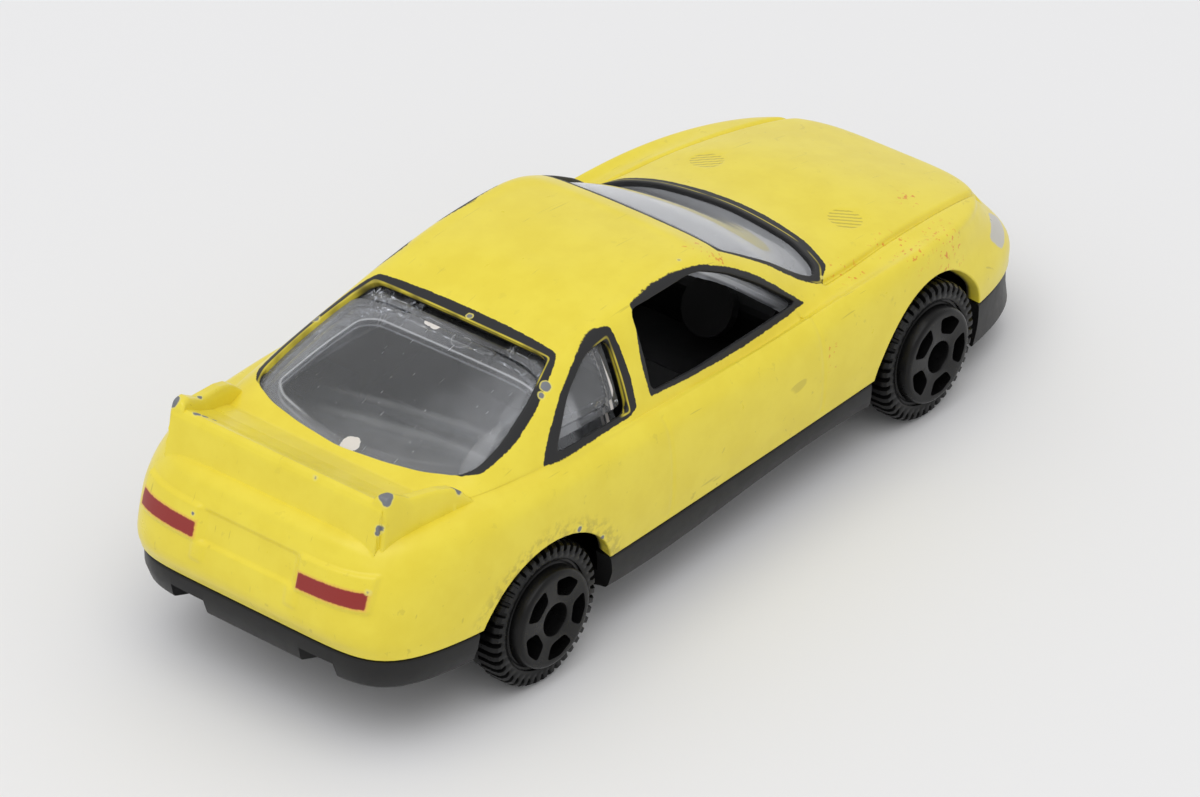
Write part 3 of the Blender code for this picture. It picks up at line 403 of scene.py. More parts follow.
def thicken(bm, wall, lip, wall_above=None):
    """Give an open sheet an inner skin, with rounded rims between the two. The cabin's wall may differ."""
    inside_of = bm.verts.layers.float.new("inside")
    deck_of = bm.verts.layers.float.get("deck")
    bm.normal_update()
    rims = rim_edges(bm)
    pairs = [tuple(e.verts) for e in rims]
    plain_of = bm.verts.layers.float_vector.get("plain")
    normals = {v: (v[plain_of] if plain_of else v.normal).normalized() for v in bm.verts}
    copy = bmesh.ops.duplicate(bm, geom=[*bm.verts, *bm.edges, *bm.faces])
    twin = {v: copy["vert_map"][v] for v in normals}
    for v, inside in twin.items():
        inside[inside_of] = 1.0
        share = min(max(v.co.z - CABIN_BELT, 0.0), 1.0) if wall_above else 0.0
        depth = wall + share * ((wall_above or wall) - wall)
        if deck_of and near_wing(v.co):
            inside.co.z = v[deck_of] - depth
        else:
            inside.co = v.co - normals[v] * depth
    last = turn_rims(bm, rims, lip) if lip else {v: v for pair in pairs for v in pair}
    for a, b in pairs:
        bm.faces.new((last[a], last[b], twin[b], twin[a]))
    bmesh.ops.recalc_face_normals(bm, faces=bm.faces)


def close_crown(bm):
    """Fill the small ring on top of a sheet, and turn its faces outwards."""
    crown = [e for e in rim_edges(bm) if min(v.co.z for v in e.verts) > 18.5 and abs(e.verts[0].co.y) < 1.0]
    bmesh.ops.holes_fill(bm, edges=crown)
    bmesh.ops.recalc_face_normals(bm, faces=bm.faces)
    if max(bm.faces, key=lambda f: f.calc_center_median().z).normal.z < 0:
        bmesh.ops.reverse_faces(bm, faces=bm.faces)
    bm.normal_update()


def modified(obj):
    """The shape of an object once its modifiers are done."""
    result = bmesh.new()
    result.from_object(obj, bpy.context.evaluated_depsgraph_get())
    return result


def carve(bm, tools, operation="DIFFERENCE"):
    """Cut tools out of a closed shape, or join them to it, and return the new shape."""
    made = []
    for source in (bm, *tools):
        mesh = bpy.data.meshes.new("carving")
        source.to_mesh(mesh)
        source.free()
        made.append(bpy.data.objects.new("carving", mesh))
        bpy.context.scene.collection.objects.link(made[-1])
    group = bpy.data.collections.new("carving tools")
    for tool in made[1:]:
        group.objects.link(tool)
    modifier = made[0].modifiers.new("carve", "BOOLEAN")
    modifier.operation, modifier.solver = operation, "EXACT"
    modifier.operand_type, modifier.collection = "COLLECTION", group
    result = modified(made[0])
    for obj in made:
        mesh = obj.data
        bpy.data.objects.remove(obj)
        bpy.data.meshes.remove(mesh)
    bpy.data.collections.remove(group)
    return result


def thin_inside(bm, share):
    """Leave fewer faces on an inner skin, where little is seen, and return the new shape."""
    inside_of = bm.verts.layers.float["inside"]
    inner = [i for i, v in enumerate(bm.verts) if v[inside_of] > 0.5]
    mesh = bpy.data.meshes.new("thinning")
    bm.to_mesh(mesh)
    bm.free()
    obj = bpy.data.objects.new("thinning", mesh)
    bpy.context.scene.collection.objects.link(obj)
    obj.vertex_groups.new(name="inner").add(inner, 1.0, "REPLACE")
    modifier = obj.modifiers.new("thin", "DECIMATE")
    modifier.ratio, modifier.vertex_group = share, "inner"
    result = modified(obj)
    bpy.data.objects.remove(obj)
    bpy.data.meshes.remove(mesh)
    return result


def bar(radius, low, high, axis, sides=48, stretch=1.0):
    """A round bar between two points along Y or Z. Stretch makes it oval along X."""
    bm = bmesh.new()
    low, high = Vector(low), Vector(high)
    turn = Matrix.Rotation(math.pi / 2, 4, "X") if axis == "Y" else Matrix.Identity(4)
    place = Matrix.Translation((low + high) / 2) @ Matrix.Diagonal((stretch, 1.0, 1.0, 1.0)) @ turn
    bmesh.ops.create_cone(
        bm, cap_ends=True, segments=sides, radius1=radius, radius2=radius,
        depth=(high - low).length, matrix=place,
    )
    return bm


def prism(outline, low, high, axis):
    """An outline pushed from low to high along an axis: its points are the other two coordinates."""
    bm = bmesh.new()
    slot = "XYZ".index(axis)
    face = bm.faces.new([bm.verts.new((*p[:slot], low, *p[slot:2])) for p in outline])
    grown = bmesh.ops.extrude_face_region(bm, geom=[face])["geom"]
    step = Vector()
    step[slot] = high - low
    bmesh.ops.translate(bm, verts=[v for v in grown if isinstance(v, bmesh.types.BMVert)], vec=step)
    bmesh.ops.recalc_face_normals(bm, faces=bm.faces)
    return bm


def piece(name, bm, material, body, nodes, sharp=38.0):
    """A finished piece of the car, in metres, riding on its body in place of its CAD nodes."""
    bmesh.ops.scale(bm, vec=(MM, MM, MM), verts=bm.verts)
    mesh = bpy.data.meshes.new(name)
    bm.to_mesh(mesh)
    bm.free()
    mesh.materials.append(material)
    mesh.shade_smooth()
    mesh.set_sharp_from_angle(angle=math.radians(sharp))
    obj = bpy.data.objects.new(name, mesh)
    bpy.context.scene.collection.objects.link(obj)
    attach(obj, body)
    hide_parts(*nodes)
    return obj


# Raised and sunk work on the body


def band(value, low, high, soft):
    """One inside a range and nothing outside it, with soft edges."""
    rise = np.clip((value - low) / soft + 0.5, 0.0, 1.0)
    fall = np.clip((high - value) / soft + 0.5, 0.0, 1.0)
    edge = np.minimum(rise, fall)
    return edge * edge * (3 - 2 * edge)


BONNET_LINE = [(12.4, 10.35), (18.0, 9.95), (24.0, 9.4), (30.0, 8.75), (33.2, 8.3)]
VENT = (19.9, 6.3)
VENT_RADIUS = 1.25
VENT_PITCH = 0.6


def line_distance(x, y, points):
    """How far places lie from a run of straight lines."""
    best = np.full(len(x), 1e9)
    for (x0, y0), (x1, y1) in zip(points, points[1:]):
        dx, dy = x1 - x0, y1 - y0
        u = np.clip(((x - x0) * dx + (y - y0) * dy) / (dx * dx + dy * dy), 0.0, 1.0)
        best = np.minimum(best, np.hypot(x - x0 - u * dx, y - y0 - u * dy))
    return best


def relief(points):
    """How far each point of the body stands out of the plain surface."""
    x, y, z = points.T
    side = np.abs(y)
    height = np.zeros(len(x))
    tail = x < -30.0
    lamp = band(side, 4.45, 10.1, 0.35) * band(z, 11.75, 14.15, 0.35)
    plate = band(side, -4.1, 4.1, 0.4) * band(z, 11.9, 14.0, 0.35)
    pad = band(side, 3.7, 4.7, 0.4) * band(z, 10.5, 11.75, 0.4)
    height += tail * (0.25 * lamp - 0.22 * plate + 0.14 * pad)
    nose = x > 34.0
    intake = band(side, -5.2, 5.2, 0.5) * band(z, 6.7, 8.1, 0.4)
    height -= nose * 0.6 * intake
    upper = (z > 10.0) & (x > 12.0)
    groove = line_distance(x, side, BONNET_LINE)
    height -= upper * 0.32 * np.exp(-((groove / 0.2) ** 2))
    away = np.hypot(x - VENT[0], side - VENT[1])
    slats = 0.5 + 0.5 * np.cos((x - VENT[0] + y) * 2 * math.pi / VENT_PITCH)
    height -= upper * 0.07 * band(away, -1.0, VENT_RADIUS, 0.12) * (0.35 + 0.65 * slats)
    flank = (side > 11.0) & (z > 6.9) & (z < 14.6)
    for place in (8.3, -8.4):
        height -= flank * 0.06 * np.exp(-(((x - place) / 0.14) ** 2))
    return height


def fine_faces(bm):
    """The faces that carry fine relief, with how many cuts each group gets."""
    middles = np.array([f.calc_center_median() for f in bm.faces])
    x, y, z = middles.T
    side = np.abs(y)
    tail = (x < -33.0) & (side < 11.2) & (z > 10.0) & (z < 14.8)
    nose = (x > 34.5) & (side < 6.2) & (z > 6.2) & (z < 8.9)
    upper = (z > 10.0) & (x > 11.8)
    groove = upper & (line_distance(x, side, BONNET_LINE) < 0.75)
    vent = upper & (np.hypot(x - VENT[0], side - VENT[1]) < 1.7)
    door = (side > 11.0) & (z > 6.6) & (z < 14.9) & (np.minimum(abs(x - 8.3), abs(x + 8.4)) < 0.55)
    wing = (x < -24.8) & (z > 14.2) & (side < 12.2)
    return tail | nose | groove | vent | door | wing


# The boot wing: heights of its middle and of its two end plates, by the distance ahead of the wing's line,
# and the plates' sides there
BLADE_HEIGHTS = [
    (-1.25, 14.6), (-0.95, 15.9), (-0.27, 18.2), (-0.05, 18.52), (0.25, 18.62), (0.65, 18.45), (1.7, 17.75),
    (3.3, 16.95), (4.95, 16.4), (5.75, 15.9),
]
PLATE_HEIGHTS = [
    (-0.75, 14.6), (-0.55, 15.8), (-0.05, 18.7), (0.15, 19.08), (0.4, 19.15), (0.95, 19.1), (1.45, 18.75),
    (2.15, 18.3), (4.65, 17.85), (5.75, 17.45), (6.5, 16.9), (7.1, 16.2), (7.6, 15.2),
]
PLATE_INNER_Y, PLATE_OUTER_Y = 8.4, 9.75
PLATE_SPLAY = 0.15
PLATE_EDGE = 0.42
WING_FRONT = 8.0


def wing_lift(points):
    """The heights of the deck's points once the wing stands on it."""
    x, y, z = points.T
    side, ahead = np.abs(y), x - WING_X
    blade = np.interp(ahead, *zip(*BLADE_HEIGHTS), left=0.0, right=0.0)
    blade = np.where(side < PLATE_OUTER_Y - 0.4, blade, 0.0)
    out = side - PLATE_SPLAY * ahead
    depth = np.clip(np.minimum(out - PLATE_INNER_Y, PLATE_OUTER_Y - out) / PLATE_EDGE, 0.0, 1.0)
    share = np.sqrt(1 - (1 - depth) ** 2)
    plate = np.interp(ahead, *zip(*PLATE_HEIGHTS), left=0.0, right=0.0)
    deck = np.maximum(z, blade)
    raised = deck + share * np.maximum(plate - deck, 0.0)
    fillet = 0.12
    gap = np.clip(1 - np.abs(z - blade) / fillet, 0.0, 1.0)
    return np.where((ahead < WING_FRONT) & (z > 14.4), raised + gap**2 * fillet / 4, z)


def raise_wing(bm):
    """Stand the wing on the deck: its lines are scored first, so that its edges run true."""
    def region():
        middles = ((f, f.calc_center_median()) for f in bm.faces)
        return [f for f, middle in middles if middle.x < WING_X + WING_FRONT + 0.4 and middle.z > 14.2]

    reach = PLATE_OUTER_Y - 0.4
    for rear, front in ((-0.95, -0.27), (-0.05, 0.25)):
        rear, front = WING_X + rear, WING_X + front
        score(bm, region(), [(rear, -reach), (front, -reach), (front, reach), (rear, reach)], "Z", 0.5)
    for sign in (1, -1):
        for edge in (0.0, 0.06, 0.2, PLATE_EDGE):
            outline = []
            for ahead, y in (
                (-1.05, PLATE_INNER_Y + edge), (WING_FRONT, PLATE_INNER_Y + edge),
                (WING_FRONT, PLATE_OUTER_Y - edge), (-1.05, PLATE_OUTER_Y - edge),
            ):
                outline.append((WING_X + ahead, sign * (y + PLATE_SPLAY * ahead)))
            score(bm, region(), outline, "Z", 0.5)
    bmesh.ops.triangulate(bm, faces=[f for f in region() if len(f.verts) > 4])
    deck_of = bm.verts.layers.float.new("deck")
    for v, height in zip(bm.verts, wing_lift(np.array([v.co for v in bm.verts]))):
        v[deck_of] = v.co.z
        v.co.z = height
    bm.normal_update()


def arch_outline(axle_x, grow=0.0):
    """A wheel arch seen from the side."""
    turns = [2 * math.pi * k / 56 for k in range(56)]
    long, high = ARCH_HALF_LENGTH + grow, ARCH_HALF_HEIGHT + grow
    return [Vector((axle_x + long * math.cos(a), AXLE_Z + high * math.sin(a))) for a in turns]


def make_body(paint):
    bm = lofted_sheet(BODY_LINES, BODY_STATIONS, np.linspace(0.0, 11.0, 11 * 8 + 1), 280)
    picked = [f for f, hit in zip(bm.faces[:], fine_faces(bm)) if hit]
    edges = list({e for f in picked for e in f.edges})
    bmesh.ops.subdivide_edges(bm, edges=edges, cuts=3, use_grid_fill=True)
    settle(bm, BODY_LINES, BODY_STATIONS)
    close_crown(bm)
    plain_of = bm.verts.layers.float_vector.new("plain")
    for v, rise in zip(bm.verts, relief(np.array([v.co for v in bm.verts]))):
        v[plain_of] = v.normal
        v.co += v.normal * float(rise)
        v.co.x = max(v.co.x, TAIL_X)
    raise_wing(bm)
    for sign in (1, -1):
        for outline in (DOOR_WINDOW, QUARTER_WINDOW):
            corners = rounded(outline, WINDOW_CORNER)
            cut_opening(bm, corners, "Y", lambda p, s=sign: p.y * s > 5.0 and p.z > 14.5)
        for axle_x in (FRONT_AXLE_X, REAR_AXLE_X):
            cut_opening(bm, arch_outline(axle_x), "Y", lambda p, s=sign: p.y * s > 9.0 and p.z < 13.0)
    cut_opening(bm, rounded(WINDSCREEN, WINDOW_CORNER), "Z", lambda p: p.z > 14.2)
    cut_opening(bm, rounded(REAR_WINDOW, WINDOW_CORNER), "Z", lambda p: p.z > 14.8)
    thicken(bm, SHELL_WALL, RIM_LIP, CABIN_WALL)
    bm = thin_inside(bm, INNER_SHARE)
    return piece("shell_casting", bm, paint, "body", ["body_shell"])


def door_cut():
    """The glazing's own opening behind a door window: its edge shows along the windscreen pillar."""
    return [(x - 1.7, z - 0.6) for x, z in inset_outline(DOOR_WINDOW, -0.9)]


def make_glazing(clear):
    """The clear moulding: a hood under the roof with a raised pane in each opening but the doors'."""
    levels, under = np.linspace(CABIN_LEVEL, 11.0, 5 * 8 + 1), GLAZING_DEPTH
    bm = lofted_sheet(BODY_LINES, BODY_STATIONS, levels, 280, under)
    close_crown(bm)
    depth_of = bm.verts.layers.float.new("depth")
    for v in bm.verts:
        v[depth_of] = under
    panes = [(WINDSCREEN, "Z", 0.05, lambda p: True), (REAR_WINDOW, "Z", -0.3, lambda p: True)]
    for sign in (1, -1):
        panes.append((QUARTER_WINDOW, "Y", -0.3, lambda p, s=sign: p.y * s > 4.0))
    for corners, axis, start, keep in panes:
        steps = ((start, under), (start + 0.05, 0.85), (0.2, 0.85), (0.4, 0.42))
        outlines = [rounded(inset_outline(corners, inset), WINDOW_CORNER) for inset, _ in steps]
        region = faces_near(bm, outlines[0], axis, keep)
        for outline, (inset, depth) in zip(outlines, steps):
            region = score(bm, region, outline, axis)
            grown = [tuple(p) for p in rounded(inset_outline(corners, inset - 0.01), WINDOW_CORNER)]
            verts = list({v for f in region for v in f.verts})
            hits = in_outline(np.array([flat(v.co, axis) for v in verts]), grown)
            for v, hit in zip(verts, hits):
                if hit:
                    v[depth_of] = depth
    level_of, angle_of = bm.verts.layers.float["level"], bm.verts.layers.float["angle"]
    raised = [v for v in bm.verts if v[depth_of] < under]
    level = np.array([v[level_of] for v in raised])
    angle = np.array([v[angle_of] for v in raised])
    depth = np.array([[v[depth_of]] for v in raised])
    for v, point in zip(raised, skin(BODY_LINES, BODY_STATIONS, level, angle, depth)):
        v.co = point
    for sign in (1, -1):
        cut_opening(bm, rounded(door_cut(), WINDOW_CORNER), "Y", lambda p, s=sign: p.y * s > 4.0)
    bmesh.ops.recalc_face_normals(bm, faces=bm.faces)
    thicken(bm, GLAZING_WALL, 0.0)
    return piece("window_moulding", bm, clear, "body", ["window_unit"])


# The guard over each rear wheel, inside the shell, as (y, z)
WHEEL_GUARD = [(8.7, 4.2), (9.1, 4.2), (9.1, 12.0), (12.2, 12.0), (12.2, 12.4), (8.7, 12.4)]
GUARD_REACH = 6.1
# The two notches in the rear valance as (y, z), and the sunk holes round the rivets
VALANCE_NOTCH = [(3.94, 2.5), (4.29, 6.8), (7.27, 6.8), (7.62, 2.5)]
NOTCH_DEPTH = 3.4
RIVET_HOLE_RADIUS, RIVET_HOLE_TOP = 2.0, 4.25
FOOT_ROUND = 0.22


def base_lines():
    """The base's lines: underside, foot, middle and rim of the skirt, inner rim and floor."""
    split = BODY_LINES[0]
    rim = smooth(BODY_STATIONS, split[10:, None], BASE_STATIONS)[:, 0] - RIM_GAP
    foot, wall = np.array(BASE_FOOT), BASE_GAP + BASE_WALL
    rows = []
    for inward, drawn_in, front_power, heights in (
        (2.2, 3.2, split[5], [BASE_FLOOR] * 6), (BASE_GAP + 0.3, 0.0, 5.8, foot),
        (BASE_GAP, 0.0, split[5], (rim + foot) / 2), (BASE_GAP, 0.0, split[5], rim),
        (wall, 0.0, split[5], rim), (wall, 4.0, split[5], [BASE_FLOOR_TOP] * 6),
    ):
        reach = [split[0] - inward, split[1] + inward + drawn_in]
        rows.append([*reach, *(split[2:5] - inward), front_power, *split[6:10], *heights])
    return np.array(rows)


def make_base(black):
    bm = lofted_sheet(base_lines(), BASE_STATIONS, np.arange(6.0), 280)
    level_of = bm.verts.layers.float["level"]
    bmesh.ops.holes_fill(bm, edges=rim_edges(bm))
    bmesh.ops.recalc_face_normals(bm, faces=bm.faces)
    rings = [e for e in bm.edges if len({round(v[level_of]) for v in e.verts}) == 1]
    foot = [e for e in rings if round(e.verts[0][level_of]) in (0, 1, 3)]
    bmesh.ops.bevel(
        bm, geom=foot, offset=FOOT_ROUND, segments=3, profile=0.5, affect="EDGES", material=-1
    )
    tools = []
    for axle_x in (FRONT_AXLE_X, REAR_AXLE_X):
        for sign in (1, -1):
            near, far = (axle_x, sign * WELL_INNER_Y, AXLE_Z), (axle_x, sign * 15.6, AXLE_Z)
            stretch = ARCH_HALF_LENGTH / ARCH_HALF_HEIGHT
            tools.append(bar(ARCH_HALF_HEIGHT, near, far, "Y", 72, stretch))
    for x in POST_X:
        tools.append(bar(RIVET_HOLE_RADIUS, (x, 0.0, 0.0), (x, 0.0, RIVET_HOLE_TOP), "Z"))
    for sign in (1, -1):
        notch = [(sign * y, z) for y, z in VALANCE_NOTCH]
        tools.append(prism(notch, TAIL_X - 1.0, TAIL_X + NOTCH_DEPTH, "X"))
    bm = carve(bm, tools)
    guards, holes = [], []
    for sign in (1, -1):
        outline = [(sign * y, z) for y, z in WHEEL_GUARD]
        guards.append(prism(outline, REAR_AXLE_X - GUARD_REACH, REAR_AXLE_X + GUARD_REACH, "X"))
        near, far = (REAR_AXLE_X, sign * 8.0, AXLE_Z), (REAR_AXLE_X, sign * 9.4, AXLE_Z)
        holes.append(bar(1.0, near, far, "Y"))
    bm = carve(carve(bm, guards, "UNION"), holes)
    return piece("base_moulding", bm, black, "body", ["base_plate"])


# Wheels

TREAD_RIBS = 42
WHEEL_TURN = math.radians(62.0)
# One of the five holes in a wheel's disc, as (radius, angle from the hole's middle)
DISC_HOLE = [(1.9, -0.4), (3.08, -0.43), (3.18, 0.0), (3.08, 0.43), (1.9, 0.4)]


def wheel_profile(ribbed):
    """A wheel's section as (radius, distance from its inner face), on a rib or in the slot beside it."""
    if ribbed:
        shoulder = [(5.3, 1.95), (5.3, 3.05), (5.24, 3.4), (5.05, 3.66), (4.8, 3.7)]
    else:
        shoulder = [(5.0, 1.95), (4.98, 3.0), (4.9, 3.2), (4.72, 3.4), (4.62, 3.62)]
    return [
        (0.72, 0.0), (1.45, 0.0), (1.45, 2.7), (3.55, 2.7), (3.7, 0.1), (4.5, 0.0), (4.85, 0.15),
        (5.02, 1.0), (5.08, 1.75), *shoulder, (4.45, 3.7), (4.16, 3.7), (4.05, 3.62), (4.02, 3.42),
        (3.86, 3.4), (3.72, 3.5), (3.66, 4.2), (3.58, 4.36), (3.42, 4.45), (3.2, 4.45), (1.36, 4.45),
        (1.24, 4.41), (1.2, 4.3), (1.2, 3.1), (0.72, 3.1),
    ]


def make_wheel(name, node, axle_x, sign, black, body):
    bm = bmesh.new()
    pitch = 2 * math.pi / TREAD_RIBS
    stations = []
    for i in range(TREAD_RIBS):
        for share, ribbed in ((0.0, True), (0.5, True), (0.62, False), (0.88, False)):
            stations.append(((i + share) * pitch, wheel_profile(ribbed)))
    stations.append((2 * math.pi, wheel_profile(True)))
    columns = len(stations[0][1])
    bmesh.ops.create_grid(bm, x_segments=columns, y_segments=len(stations) - 1, size=1.0)
    for v in bm.verts:
        turn, profile = stations[round((v.co.y + 1) / 2 * (len(stations) - 1))]
        radius, depth = profile[round((v.co.x + 1) / 2 * columns) % columns]
        across, up = radius * math.cos(turn), radius * math.sin(turn)
        v.co = (axle_x + across, sign * (WHEEL_INNER_Y + depth), AXLE_Z + up)
    bmesh.ops.remove_doubles(bm, verts=bm.verts, dist=1e-5)
    bmesh.ops.recalc_face_normals(bm, faces=bm.faces)
    tools = []
    for k in range(5):
        middle = WHEEL_TURN + k * 2 * math.pi / 5
        corners = []
        for radius, spread in DISC_HOLE:
            place = middle + spread
            corners.append((axle_x + radius * math.cos(place), AXLE_Z + radius * math.sin(place)))
        low, high = sorted((sign * (WHEEL_INNER_Y + 2.0), sign * (DISC_FACE_Y + 1.0)))
        tools.append(prism(rounded(corners, 0.35, 4), low, high, "Y"))
    bm = carve(bm, tools)
    return piece(name, bm, black, body, [node], 40.0)


# Finishes


class Finish:
    """A material, with short calls for the nodes that its patterns need."""

    def __init__(self, name, **values):
        self.material = bpy.data.materials.new(name)
        self.material.use_nodes = True
        self.tree = self.material.node_tree
        self.shader = self.tree.nodes["Principled BSDF"]
        for label, value in values.items():
            self.shader.inputs[label.replace("_", " ")].default_value = value
        place = self.put("ShaderNodeTexCoord", out=3)
        scaled = self.tree.nodes.new("ShaderNodeVectorMath")
        scaled.operation = "SCALE"
        scaled.inputs["Scale"].default_value = 1 / MM
        self.tree.links.new(place, scaled.inputs[0])
        self.place = scaled.outputs[0]
        axes = self.tree.nodes.new("ShaderNodeSeparateXYZ")
        self.tree.links.new(self.place, axes.inputs[0])
        self.x, self.y, self.z = axes.outputs
        self.side = self.math("ABSOLUTE", self.y)

    def put(self, kind, values=(), out=0, **settings):
        node = self.tree.nodes.new(kind)
        for key, value in settings.items():
            setattr(node, key, value)
        for socket, value in zip(node.inputs, values):
            if isinstance(value, bpy.types.NodeSocket):
                self.tree.links.new(value, socket)
            elif value is not None:
                socket.default_value = value
        return node.outputs[out]

    def math(self, operation, *values):
        return self.put("ShaderNodeMath", values, operation=operation)

    def blend(self, factor, first, second):
        node = self.tree.nodes.new("ShaderNodeMix")
        node.data_type = "RGBA"
        for index, value in ((0, factor), (6, first), (7, second)):
            if isinstance(value, bpy.types.NodeSocket):
                self.tree.links.new(value, node.inputs[index])
            else:
                node.inputs[index].default_value = value if index == 0 else (*value, 1.0)
        return node.outputs[2]

    def noise(self, scale, detail=2.0, place=None):
        return self.put("ShaderNodeTexNoise", (place or self.place, None, scale, detail, 0.6))

    def below(self, value, edge, soft):
        """One where a value is under an edge, nothing where it is over, with a soft change."""
        limits = (value, edge - soft, edge + soft, 1.0, 0.0)
        return self.put("ShaderNodeMapRange", limits, interpolation_type="SMOOTHSTEP")

    def above(self, value, edge, soft):
        limits = (value, edge - soft, edge + soft, 0.0, 1.0)
        return self.put("ShaderNodeMapRange", limits, interpolation_type="SMOOTHSTEP")

    def both(self, *masks):
        result = masks[0]
        for mask in masks[1:]:
            result = self.math("MULTIPLY", result, mask)
        return result

    def either(self, *masks):
        result = masks[0]
        for mask in masks[1:]:
            result = self.math("MAXIMUM", result, mask)
        return result

    def shape(self, across, up, corners, soft=0.5):
        """How far a place is outside a shape with straight sides, less than nothing inside it."""
        middle = sum((Vector(c) for c in corners), Vector((0.0, 0.0))) / len(corners)
        result = None
        for a, b in zip(corners, corners[1:] + corners[:1]):
            a, b = Vector(a), Vector(b)
            normal = Vector(((b - a).y, (a - b).x)).normalized()
            if normal.dot(middle - a) > 0:
                normal.negate()
            part = self.math("MULTIPLY_ADD", up, normal.y, -normal.dot(a))
            part = self.math("MULTIPLY_ADD", across, normal.x, part)
            result = part if result is None else self.math("SMOOTH_MAX", result, part, soft)
        return result

    def spot(self, centre, radius, ragged):
        """A ragged spot round a point."""
        away = self.put("ShaderNodeVectorMath", (self.place, centre), out=1, operation="DISTANCE")
        return self.below(self.math("ADD", away, ragged), radius, 0.04)

    def near(self, value, reach, soft):
        """One where a value is close to nothing."""
        return self.below(self.math("ABSOLUTE", value), reach, soft)

    def streaks(self, turn, scale, level):
        """Long thin marks that run one way."""
        tilt = (0.0, 0.0, math.radians(turn))
        place = self.put("ShaderNodeMapping", (self.place, None, tilt, scale))
        return self.above(self.noise(1.0, 2.0, place), level, 0.015)

    def link(self, socket, value):
        self.tree.links.new(value, self.shader.inputs[socket])

    def bump(self, height, strength, distance):
        node = self.tree.nodes.new("ShaderNodeBump")
        node.inputs["Strength"].default_value = strength
        node.inputs["Distance"].default_value = distance * MM
        self.tree.links.new(height, node.inputs["Height"])
        self.tree.links.new(node.outputs[0], self.shader.inputs["Normal"])


ENAMEL_DEEP, ENAMEL_PALE = (0.80, 0.655, 0.046), (0.84, 0.70, 0.058)
# Painted shade: a dark colour for the shell's inner skin, which lies in shade inside the car
INSIDE_SHADE = (0.03, 0.028, 0.02)
CHIP_EDGE = (0.80, 0.70, 0.16)
FRAME_BLACK = (0.011, 0.011, 0.012)
LAMP_RED = (0.285, 0.022, 0.017)
LAMP_HALO = (0.78, 0.36, 0.09)
BARE_ZINC = (0.22, 0.23, 0.25)
LAMP_SILVER = (0.58, 0.56, 0.50)
SPECK_ORANGE = (0.72, 0.17, 0.015)
# Dark olive for dirt, scuffs, scratches and the bonnet's shut lines, and for painted shade in the vent slats
DIRT_AND_SHADE = (0.30, 0.23, 0.04)

# Where the enamel is chipped down to the metal, with the size of each chip
CHIPS = [
    ((-33.05, 9.55, 19.1), 0.55), ((-33.0, -9.6, 19.15), 0.55), ((-32.7, -9.2, 19.15), 0.5),
    ((-32.65, 7.6, 18.55), 0.3), ((-32.4, 7.1, 18.4), 0.26), ((-32.2, 6.5, 18.2), 0.2),
    ((-30.7, 9.15, 18.3), 0.2), ((-33.4, -3.43, 18.6), 0.25), ((-33.7, -9.45, 17.1), 0.34),
    ((-33.7, -9.3, 16.8), 0.2),
    ((-35.2, -9.75, 13.2), 0.3), ((-26.9, -10.1, 17.0), 0.42), ((-27.3, -10.0, 16.7), 0.25),
    ((-16.3, -9.0, 19.45), 0.36), ((-17.0, -9.25, 19.2), 0.24), ((-14.2, -0.5, 20.5), 0.2),
    ((-18.3, -13.55, 10.95), 0.22), ((-15.9, -13.6, 9.0), 0.18), ((12.6, -10.1, 14.75), 0.2),
    ((-0.6, -7.7, 21.2), 0.16), ((-18.9, 9.3, 18.7), 0.25), ((-36.3, 4.9, 13.6), 0.12),
]
# Where another toy's orange paint has rubbed off on the enamel, and how wide each patch is
RUBBED = [
    ((20.2, -11.0, 13.6), 2.4), ((15.0, -10.3, 14.2), 1.6), ((24.5, -11.6, 11.8), 2.6),
    ((9.2, -13.5, 11.6), 0.7), ((9.3, -13.6, 10.2), 0.6), ((1.8, -7.4, 21.0), 1.3),
    ((3.0, -8.6, 20.4), 0.9), ((26.5, -6.8, 13.0), 1.5),
]


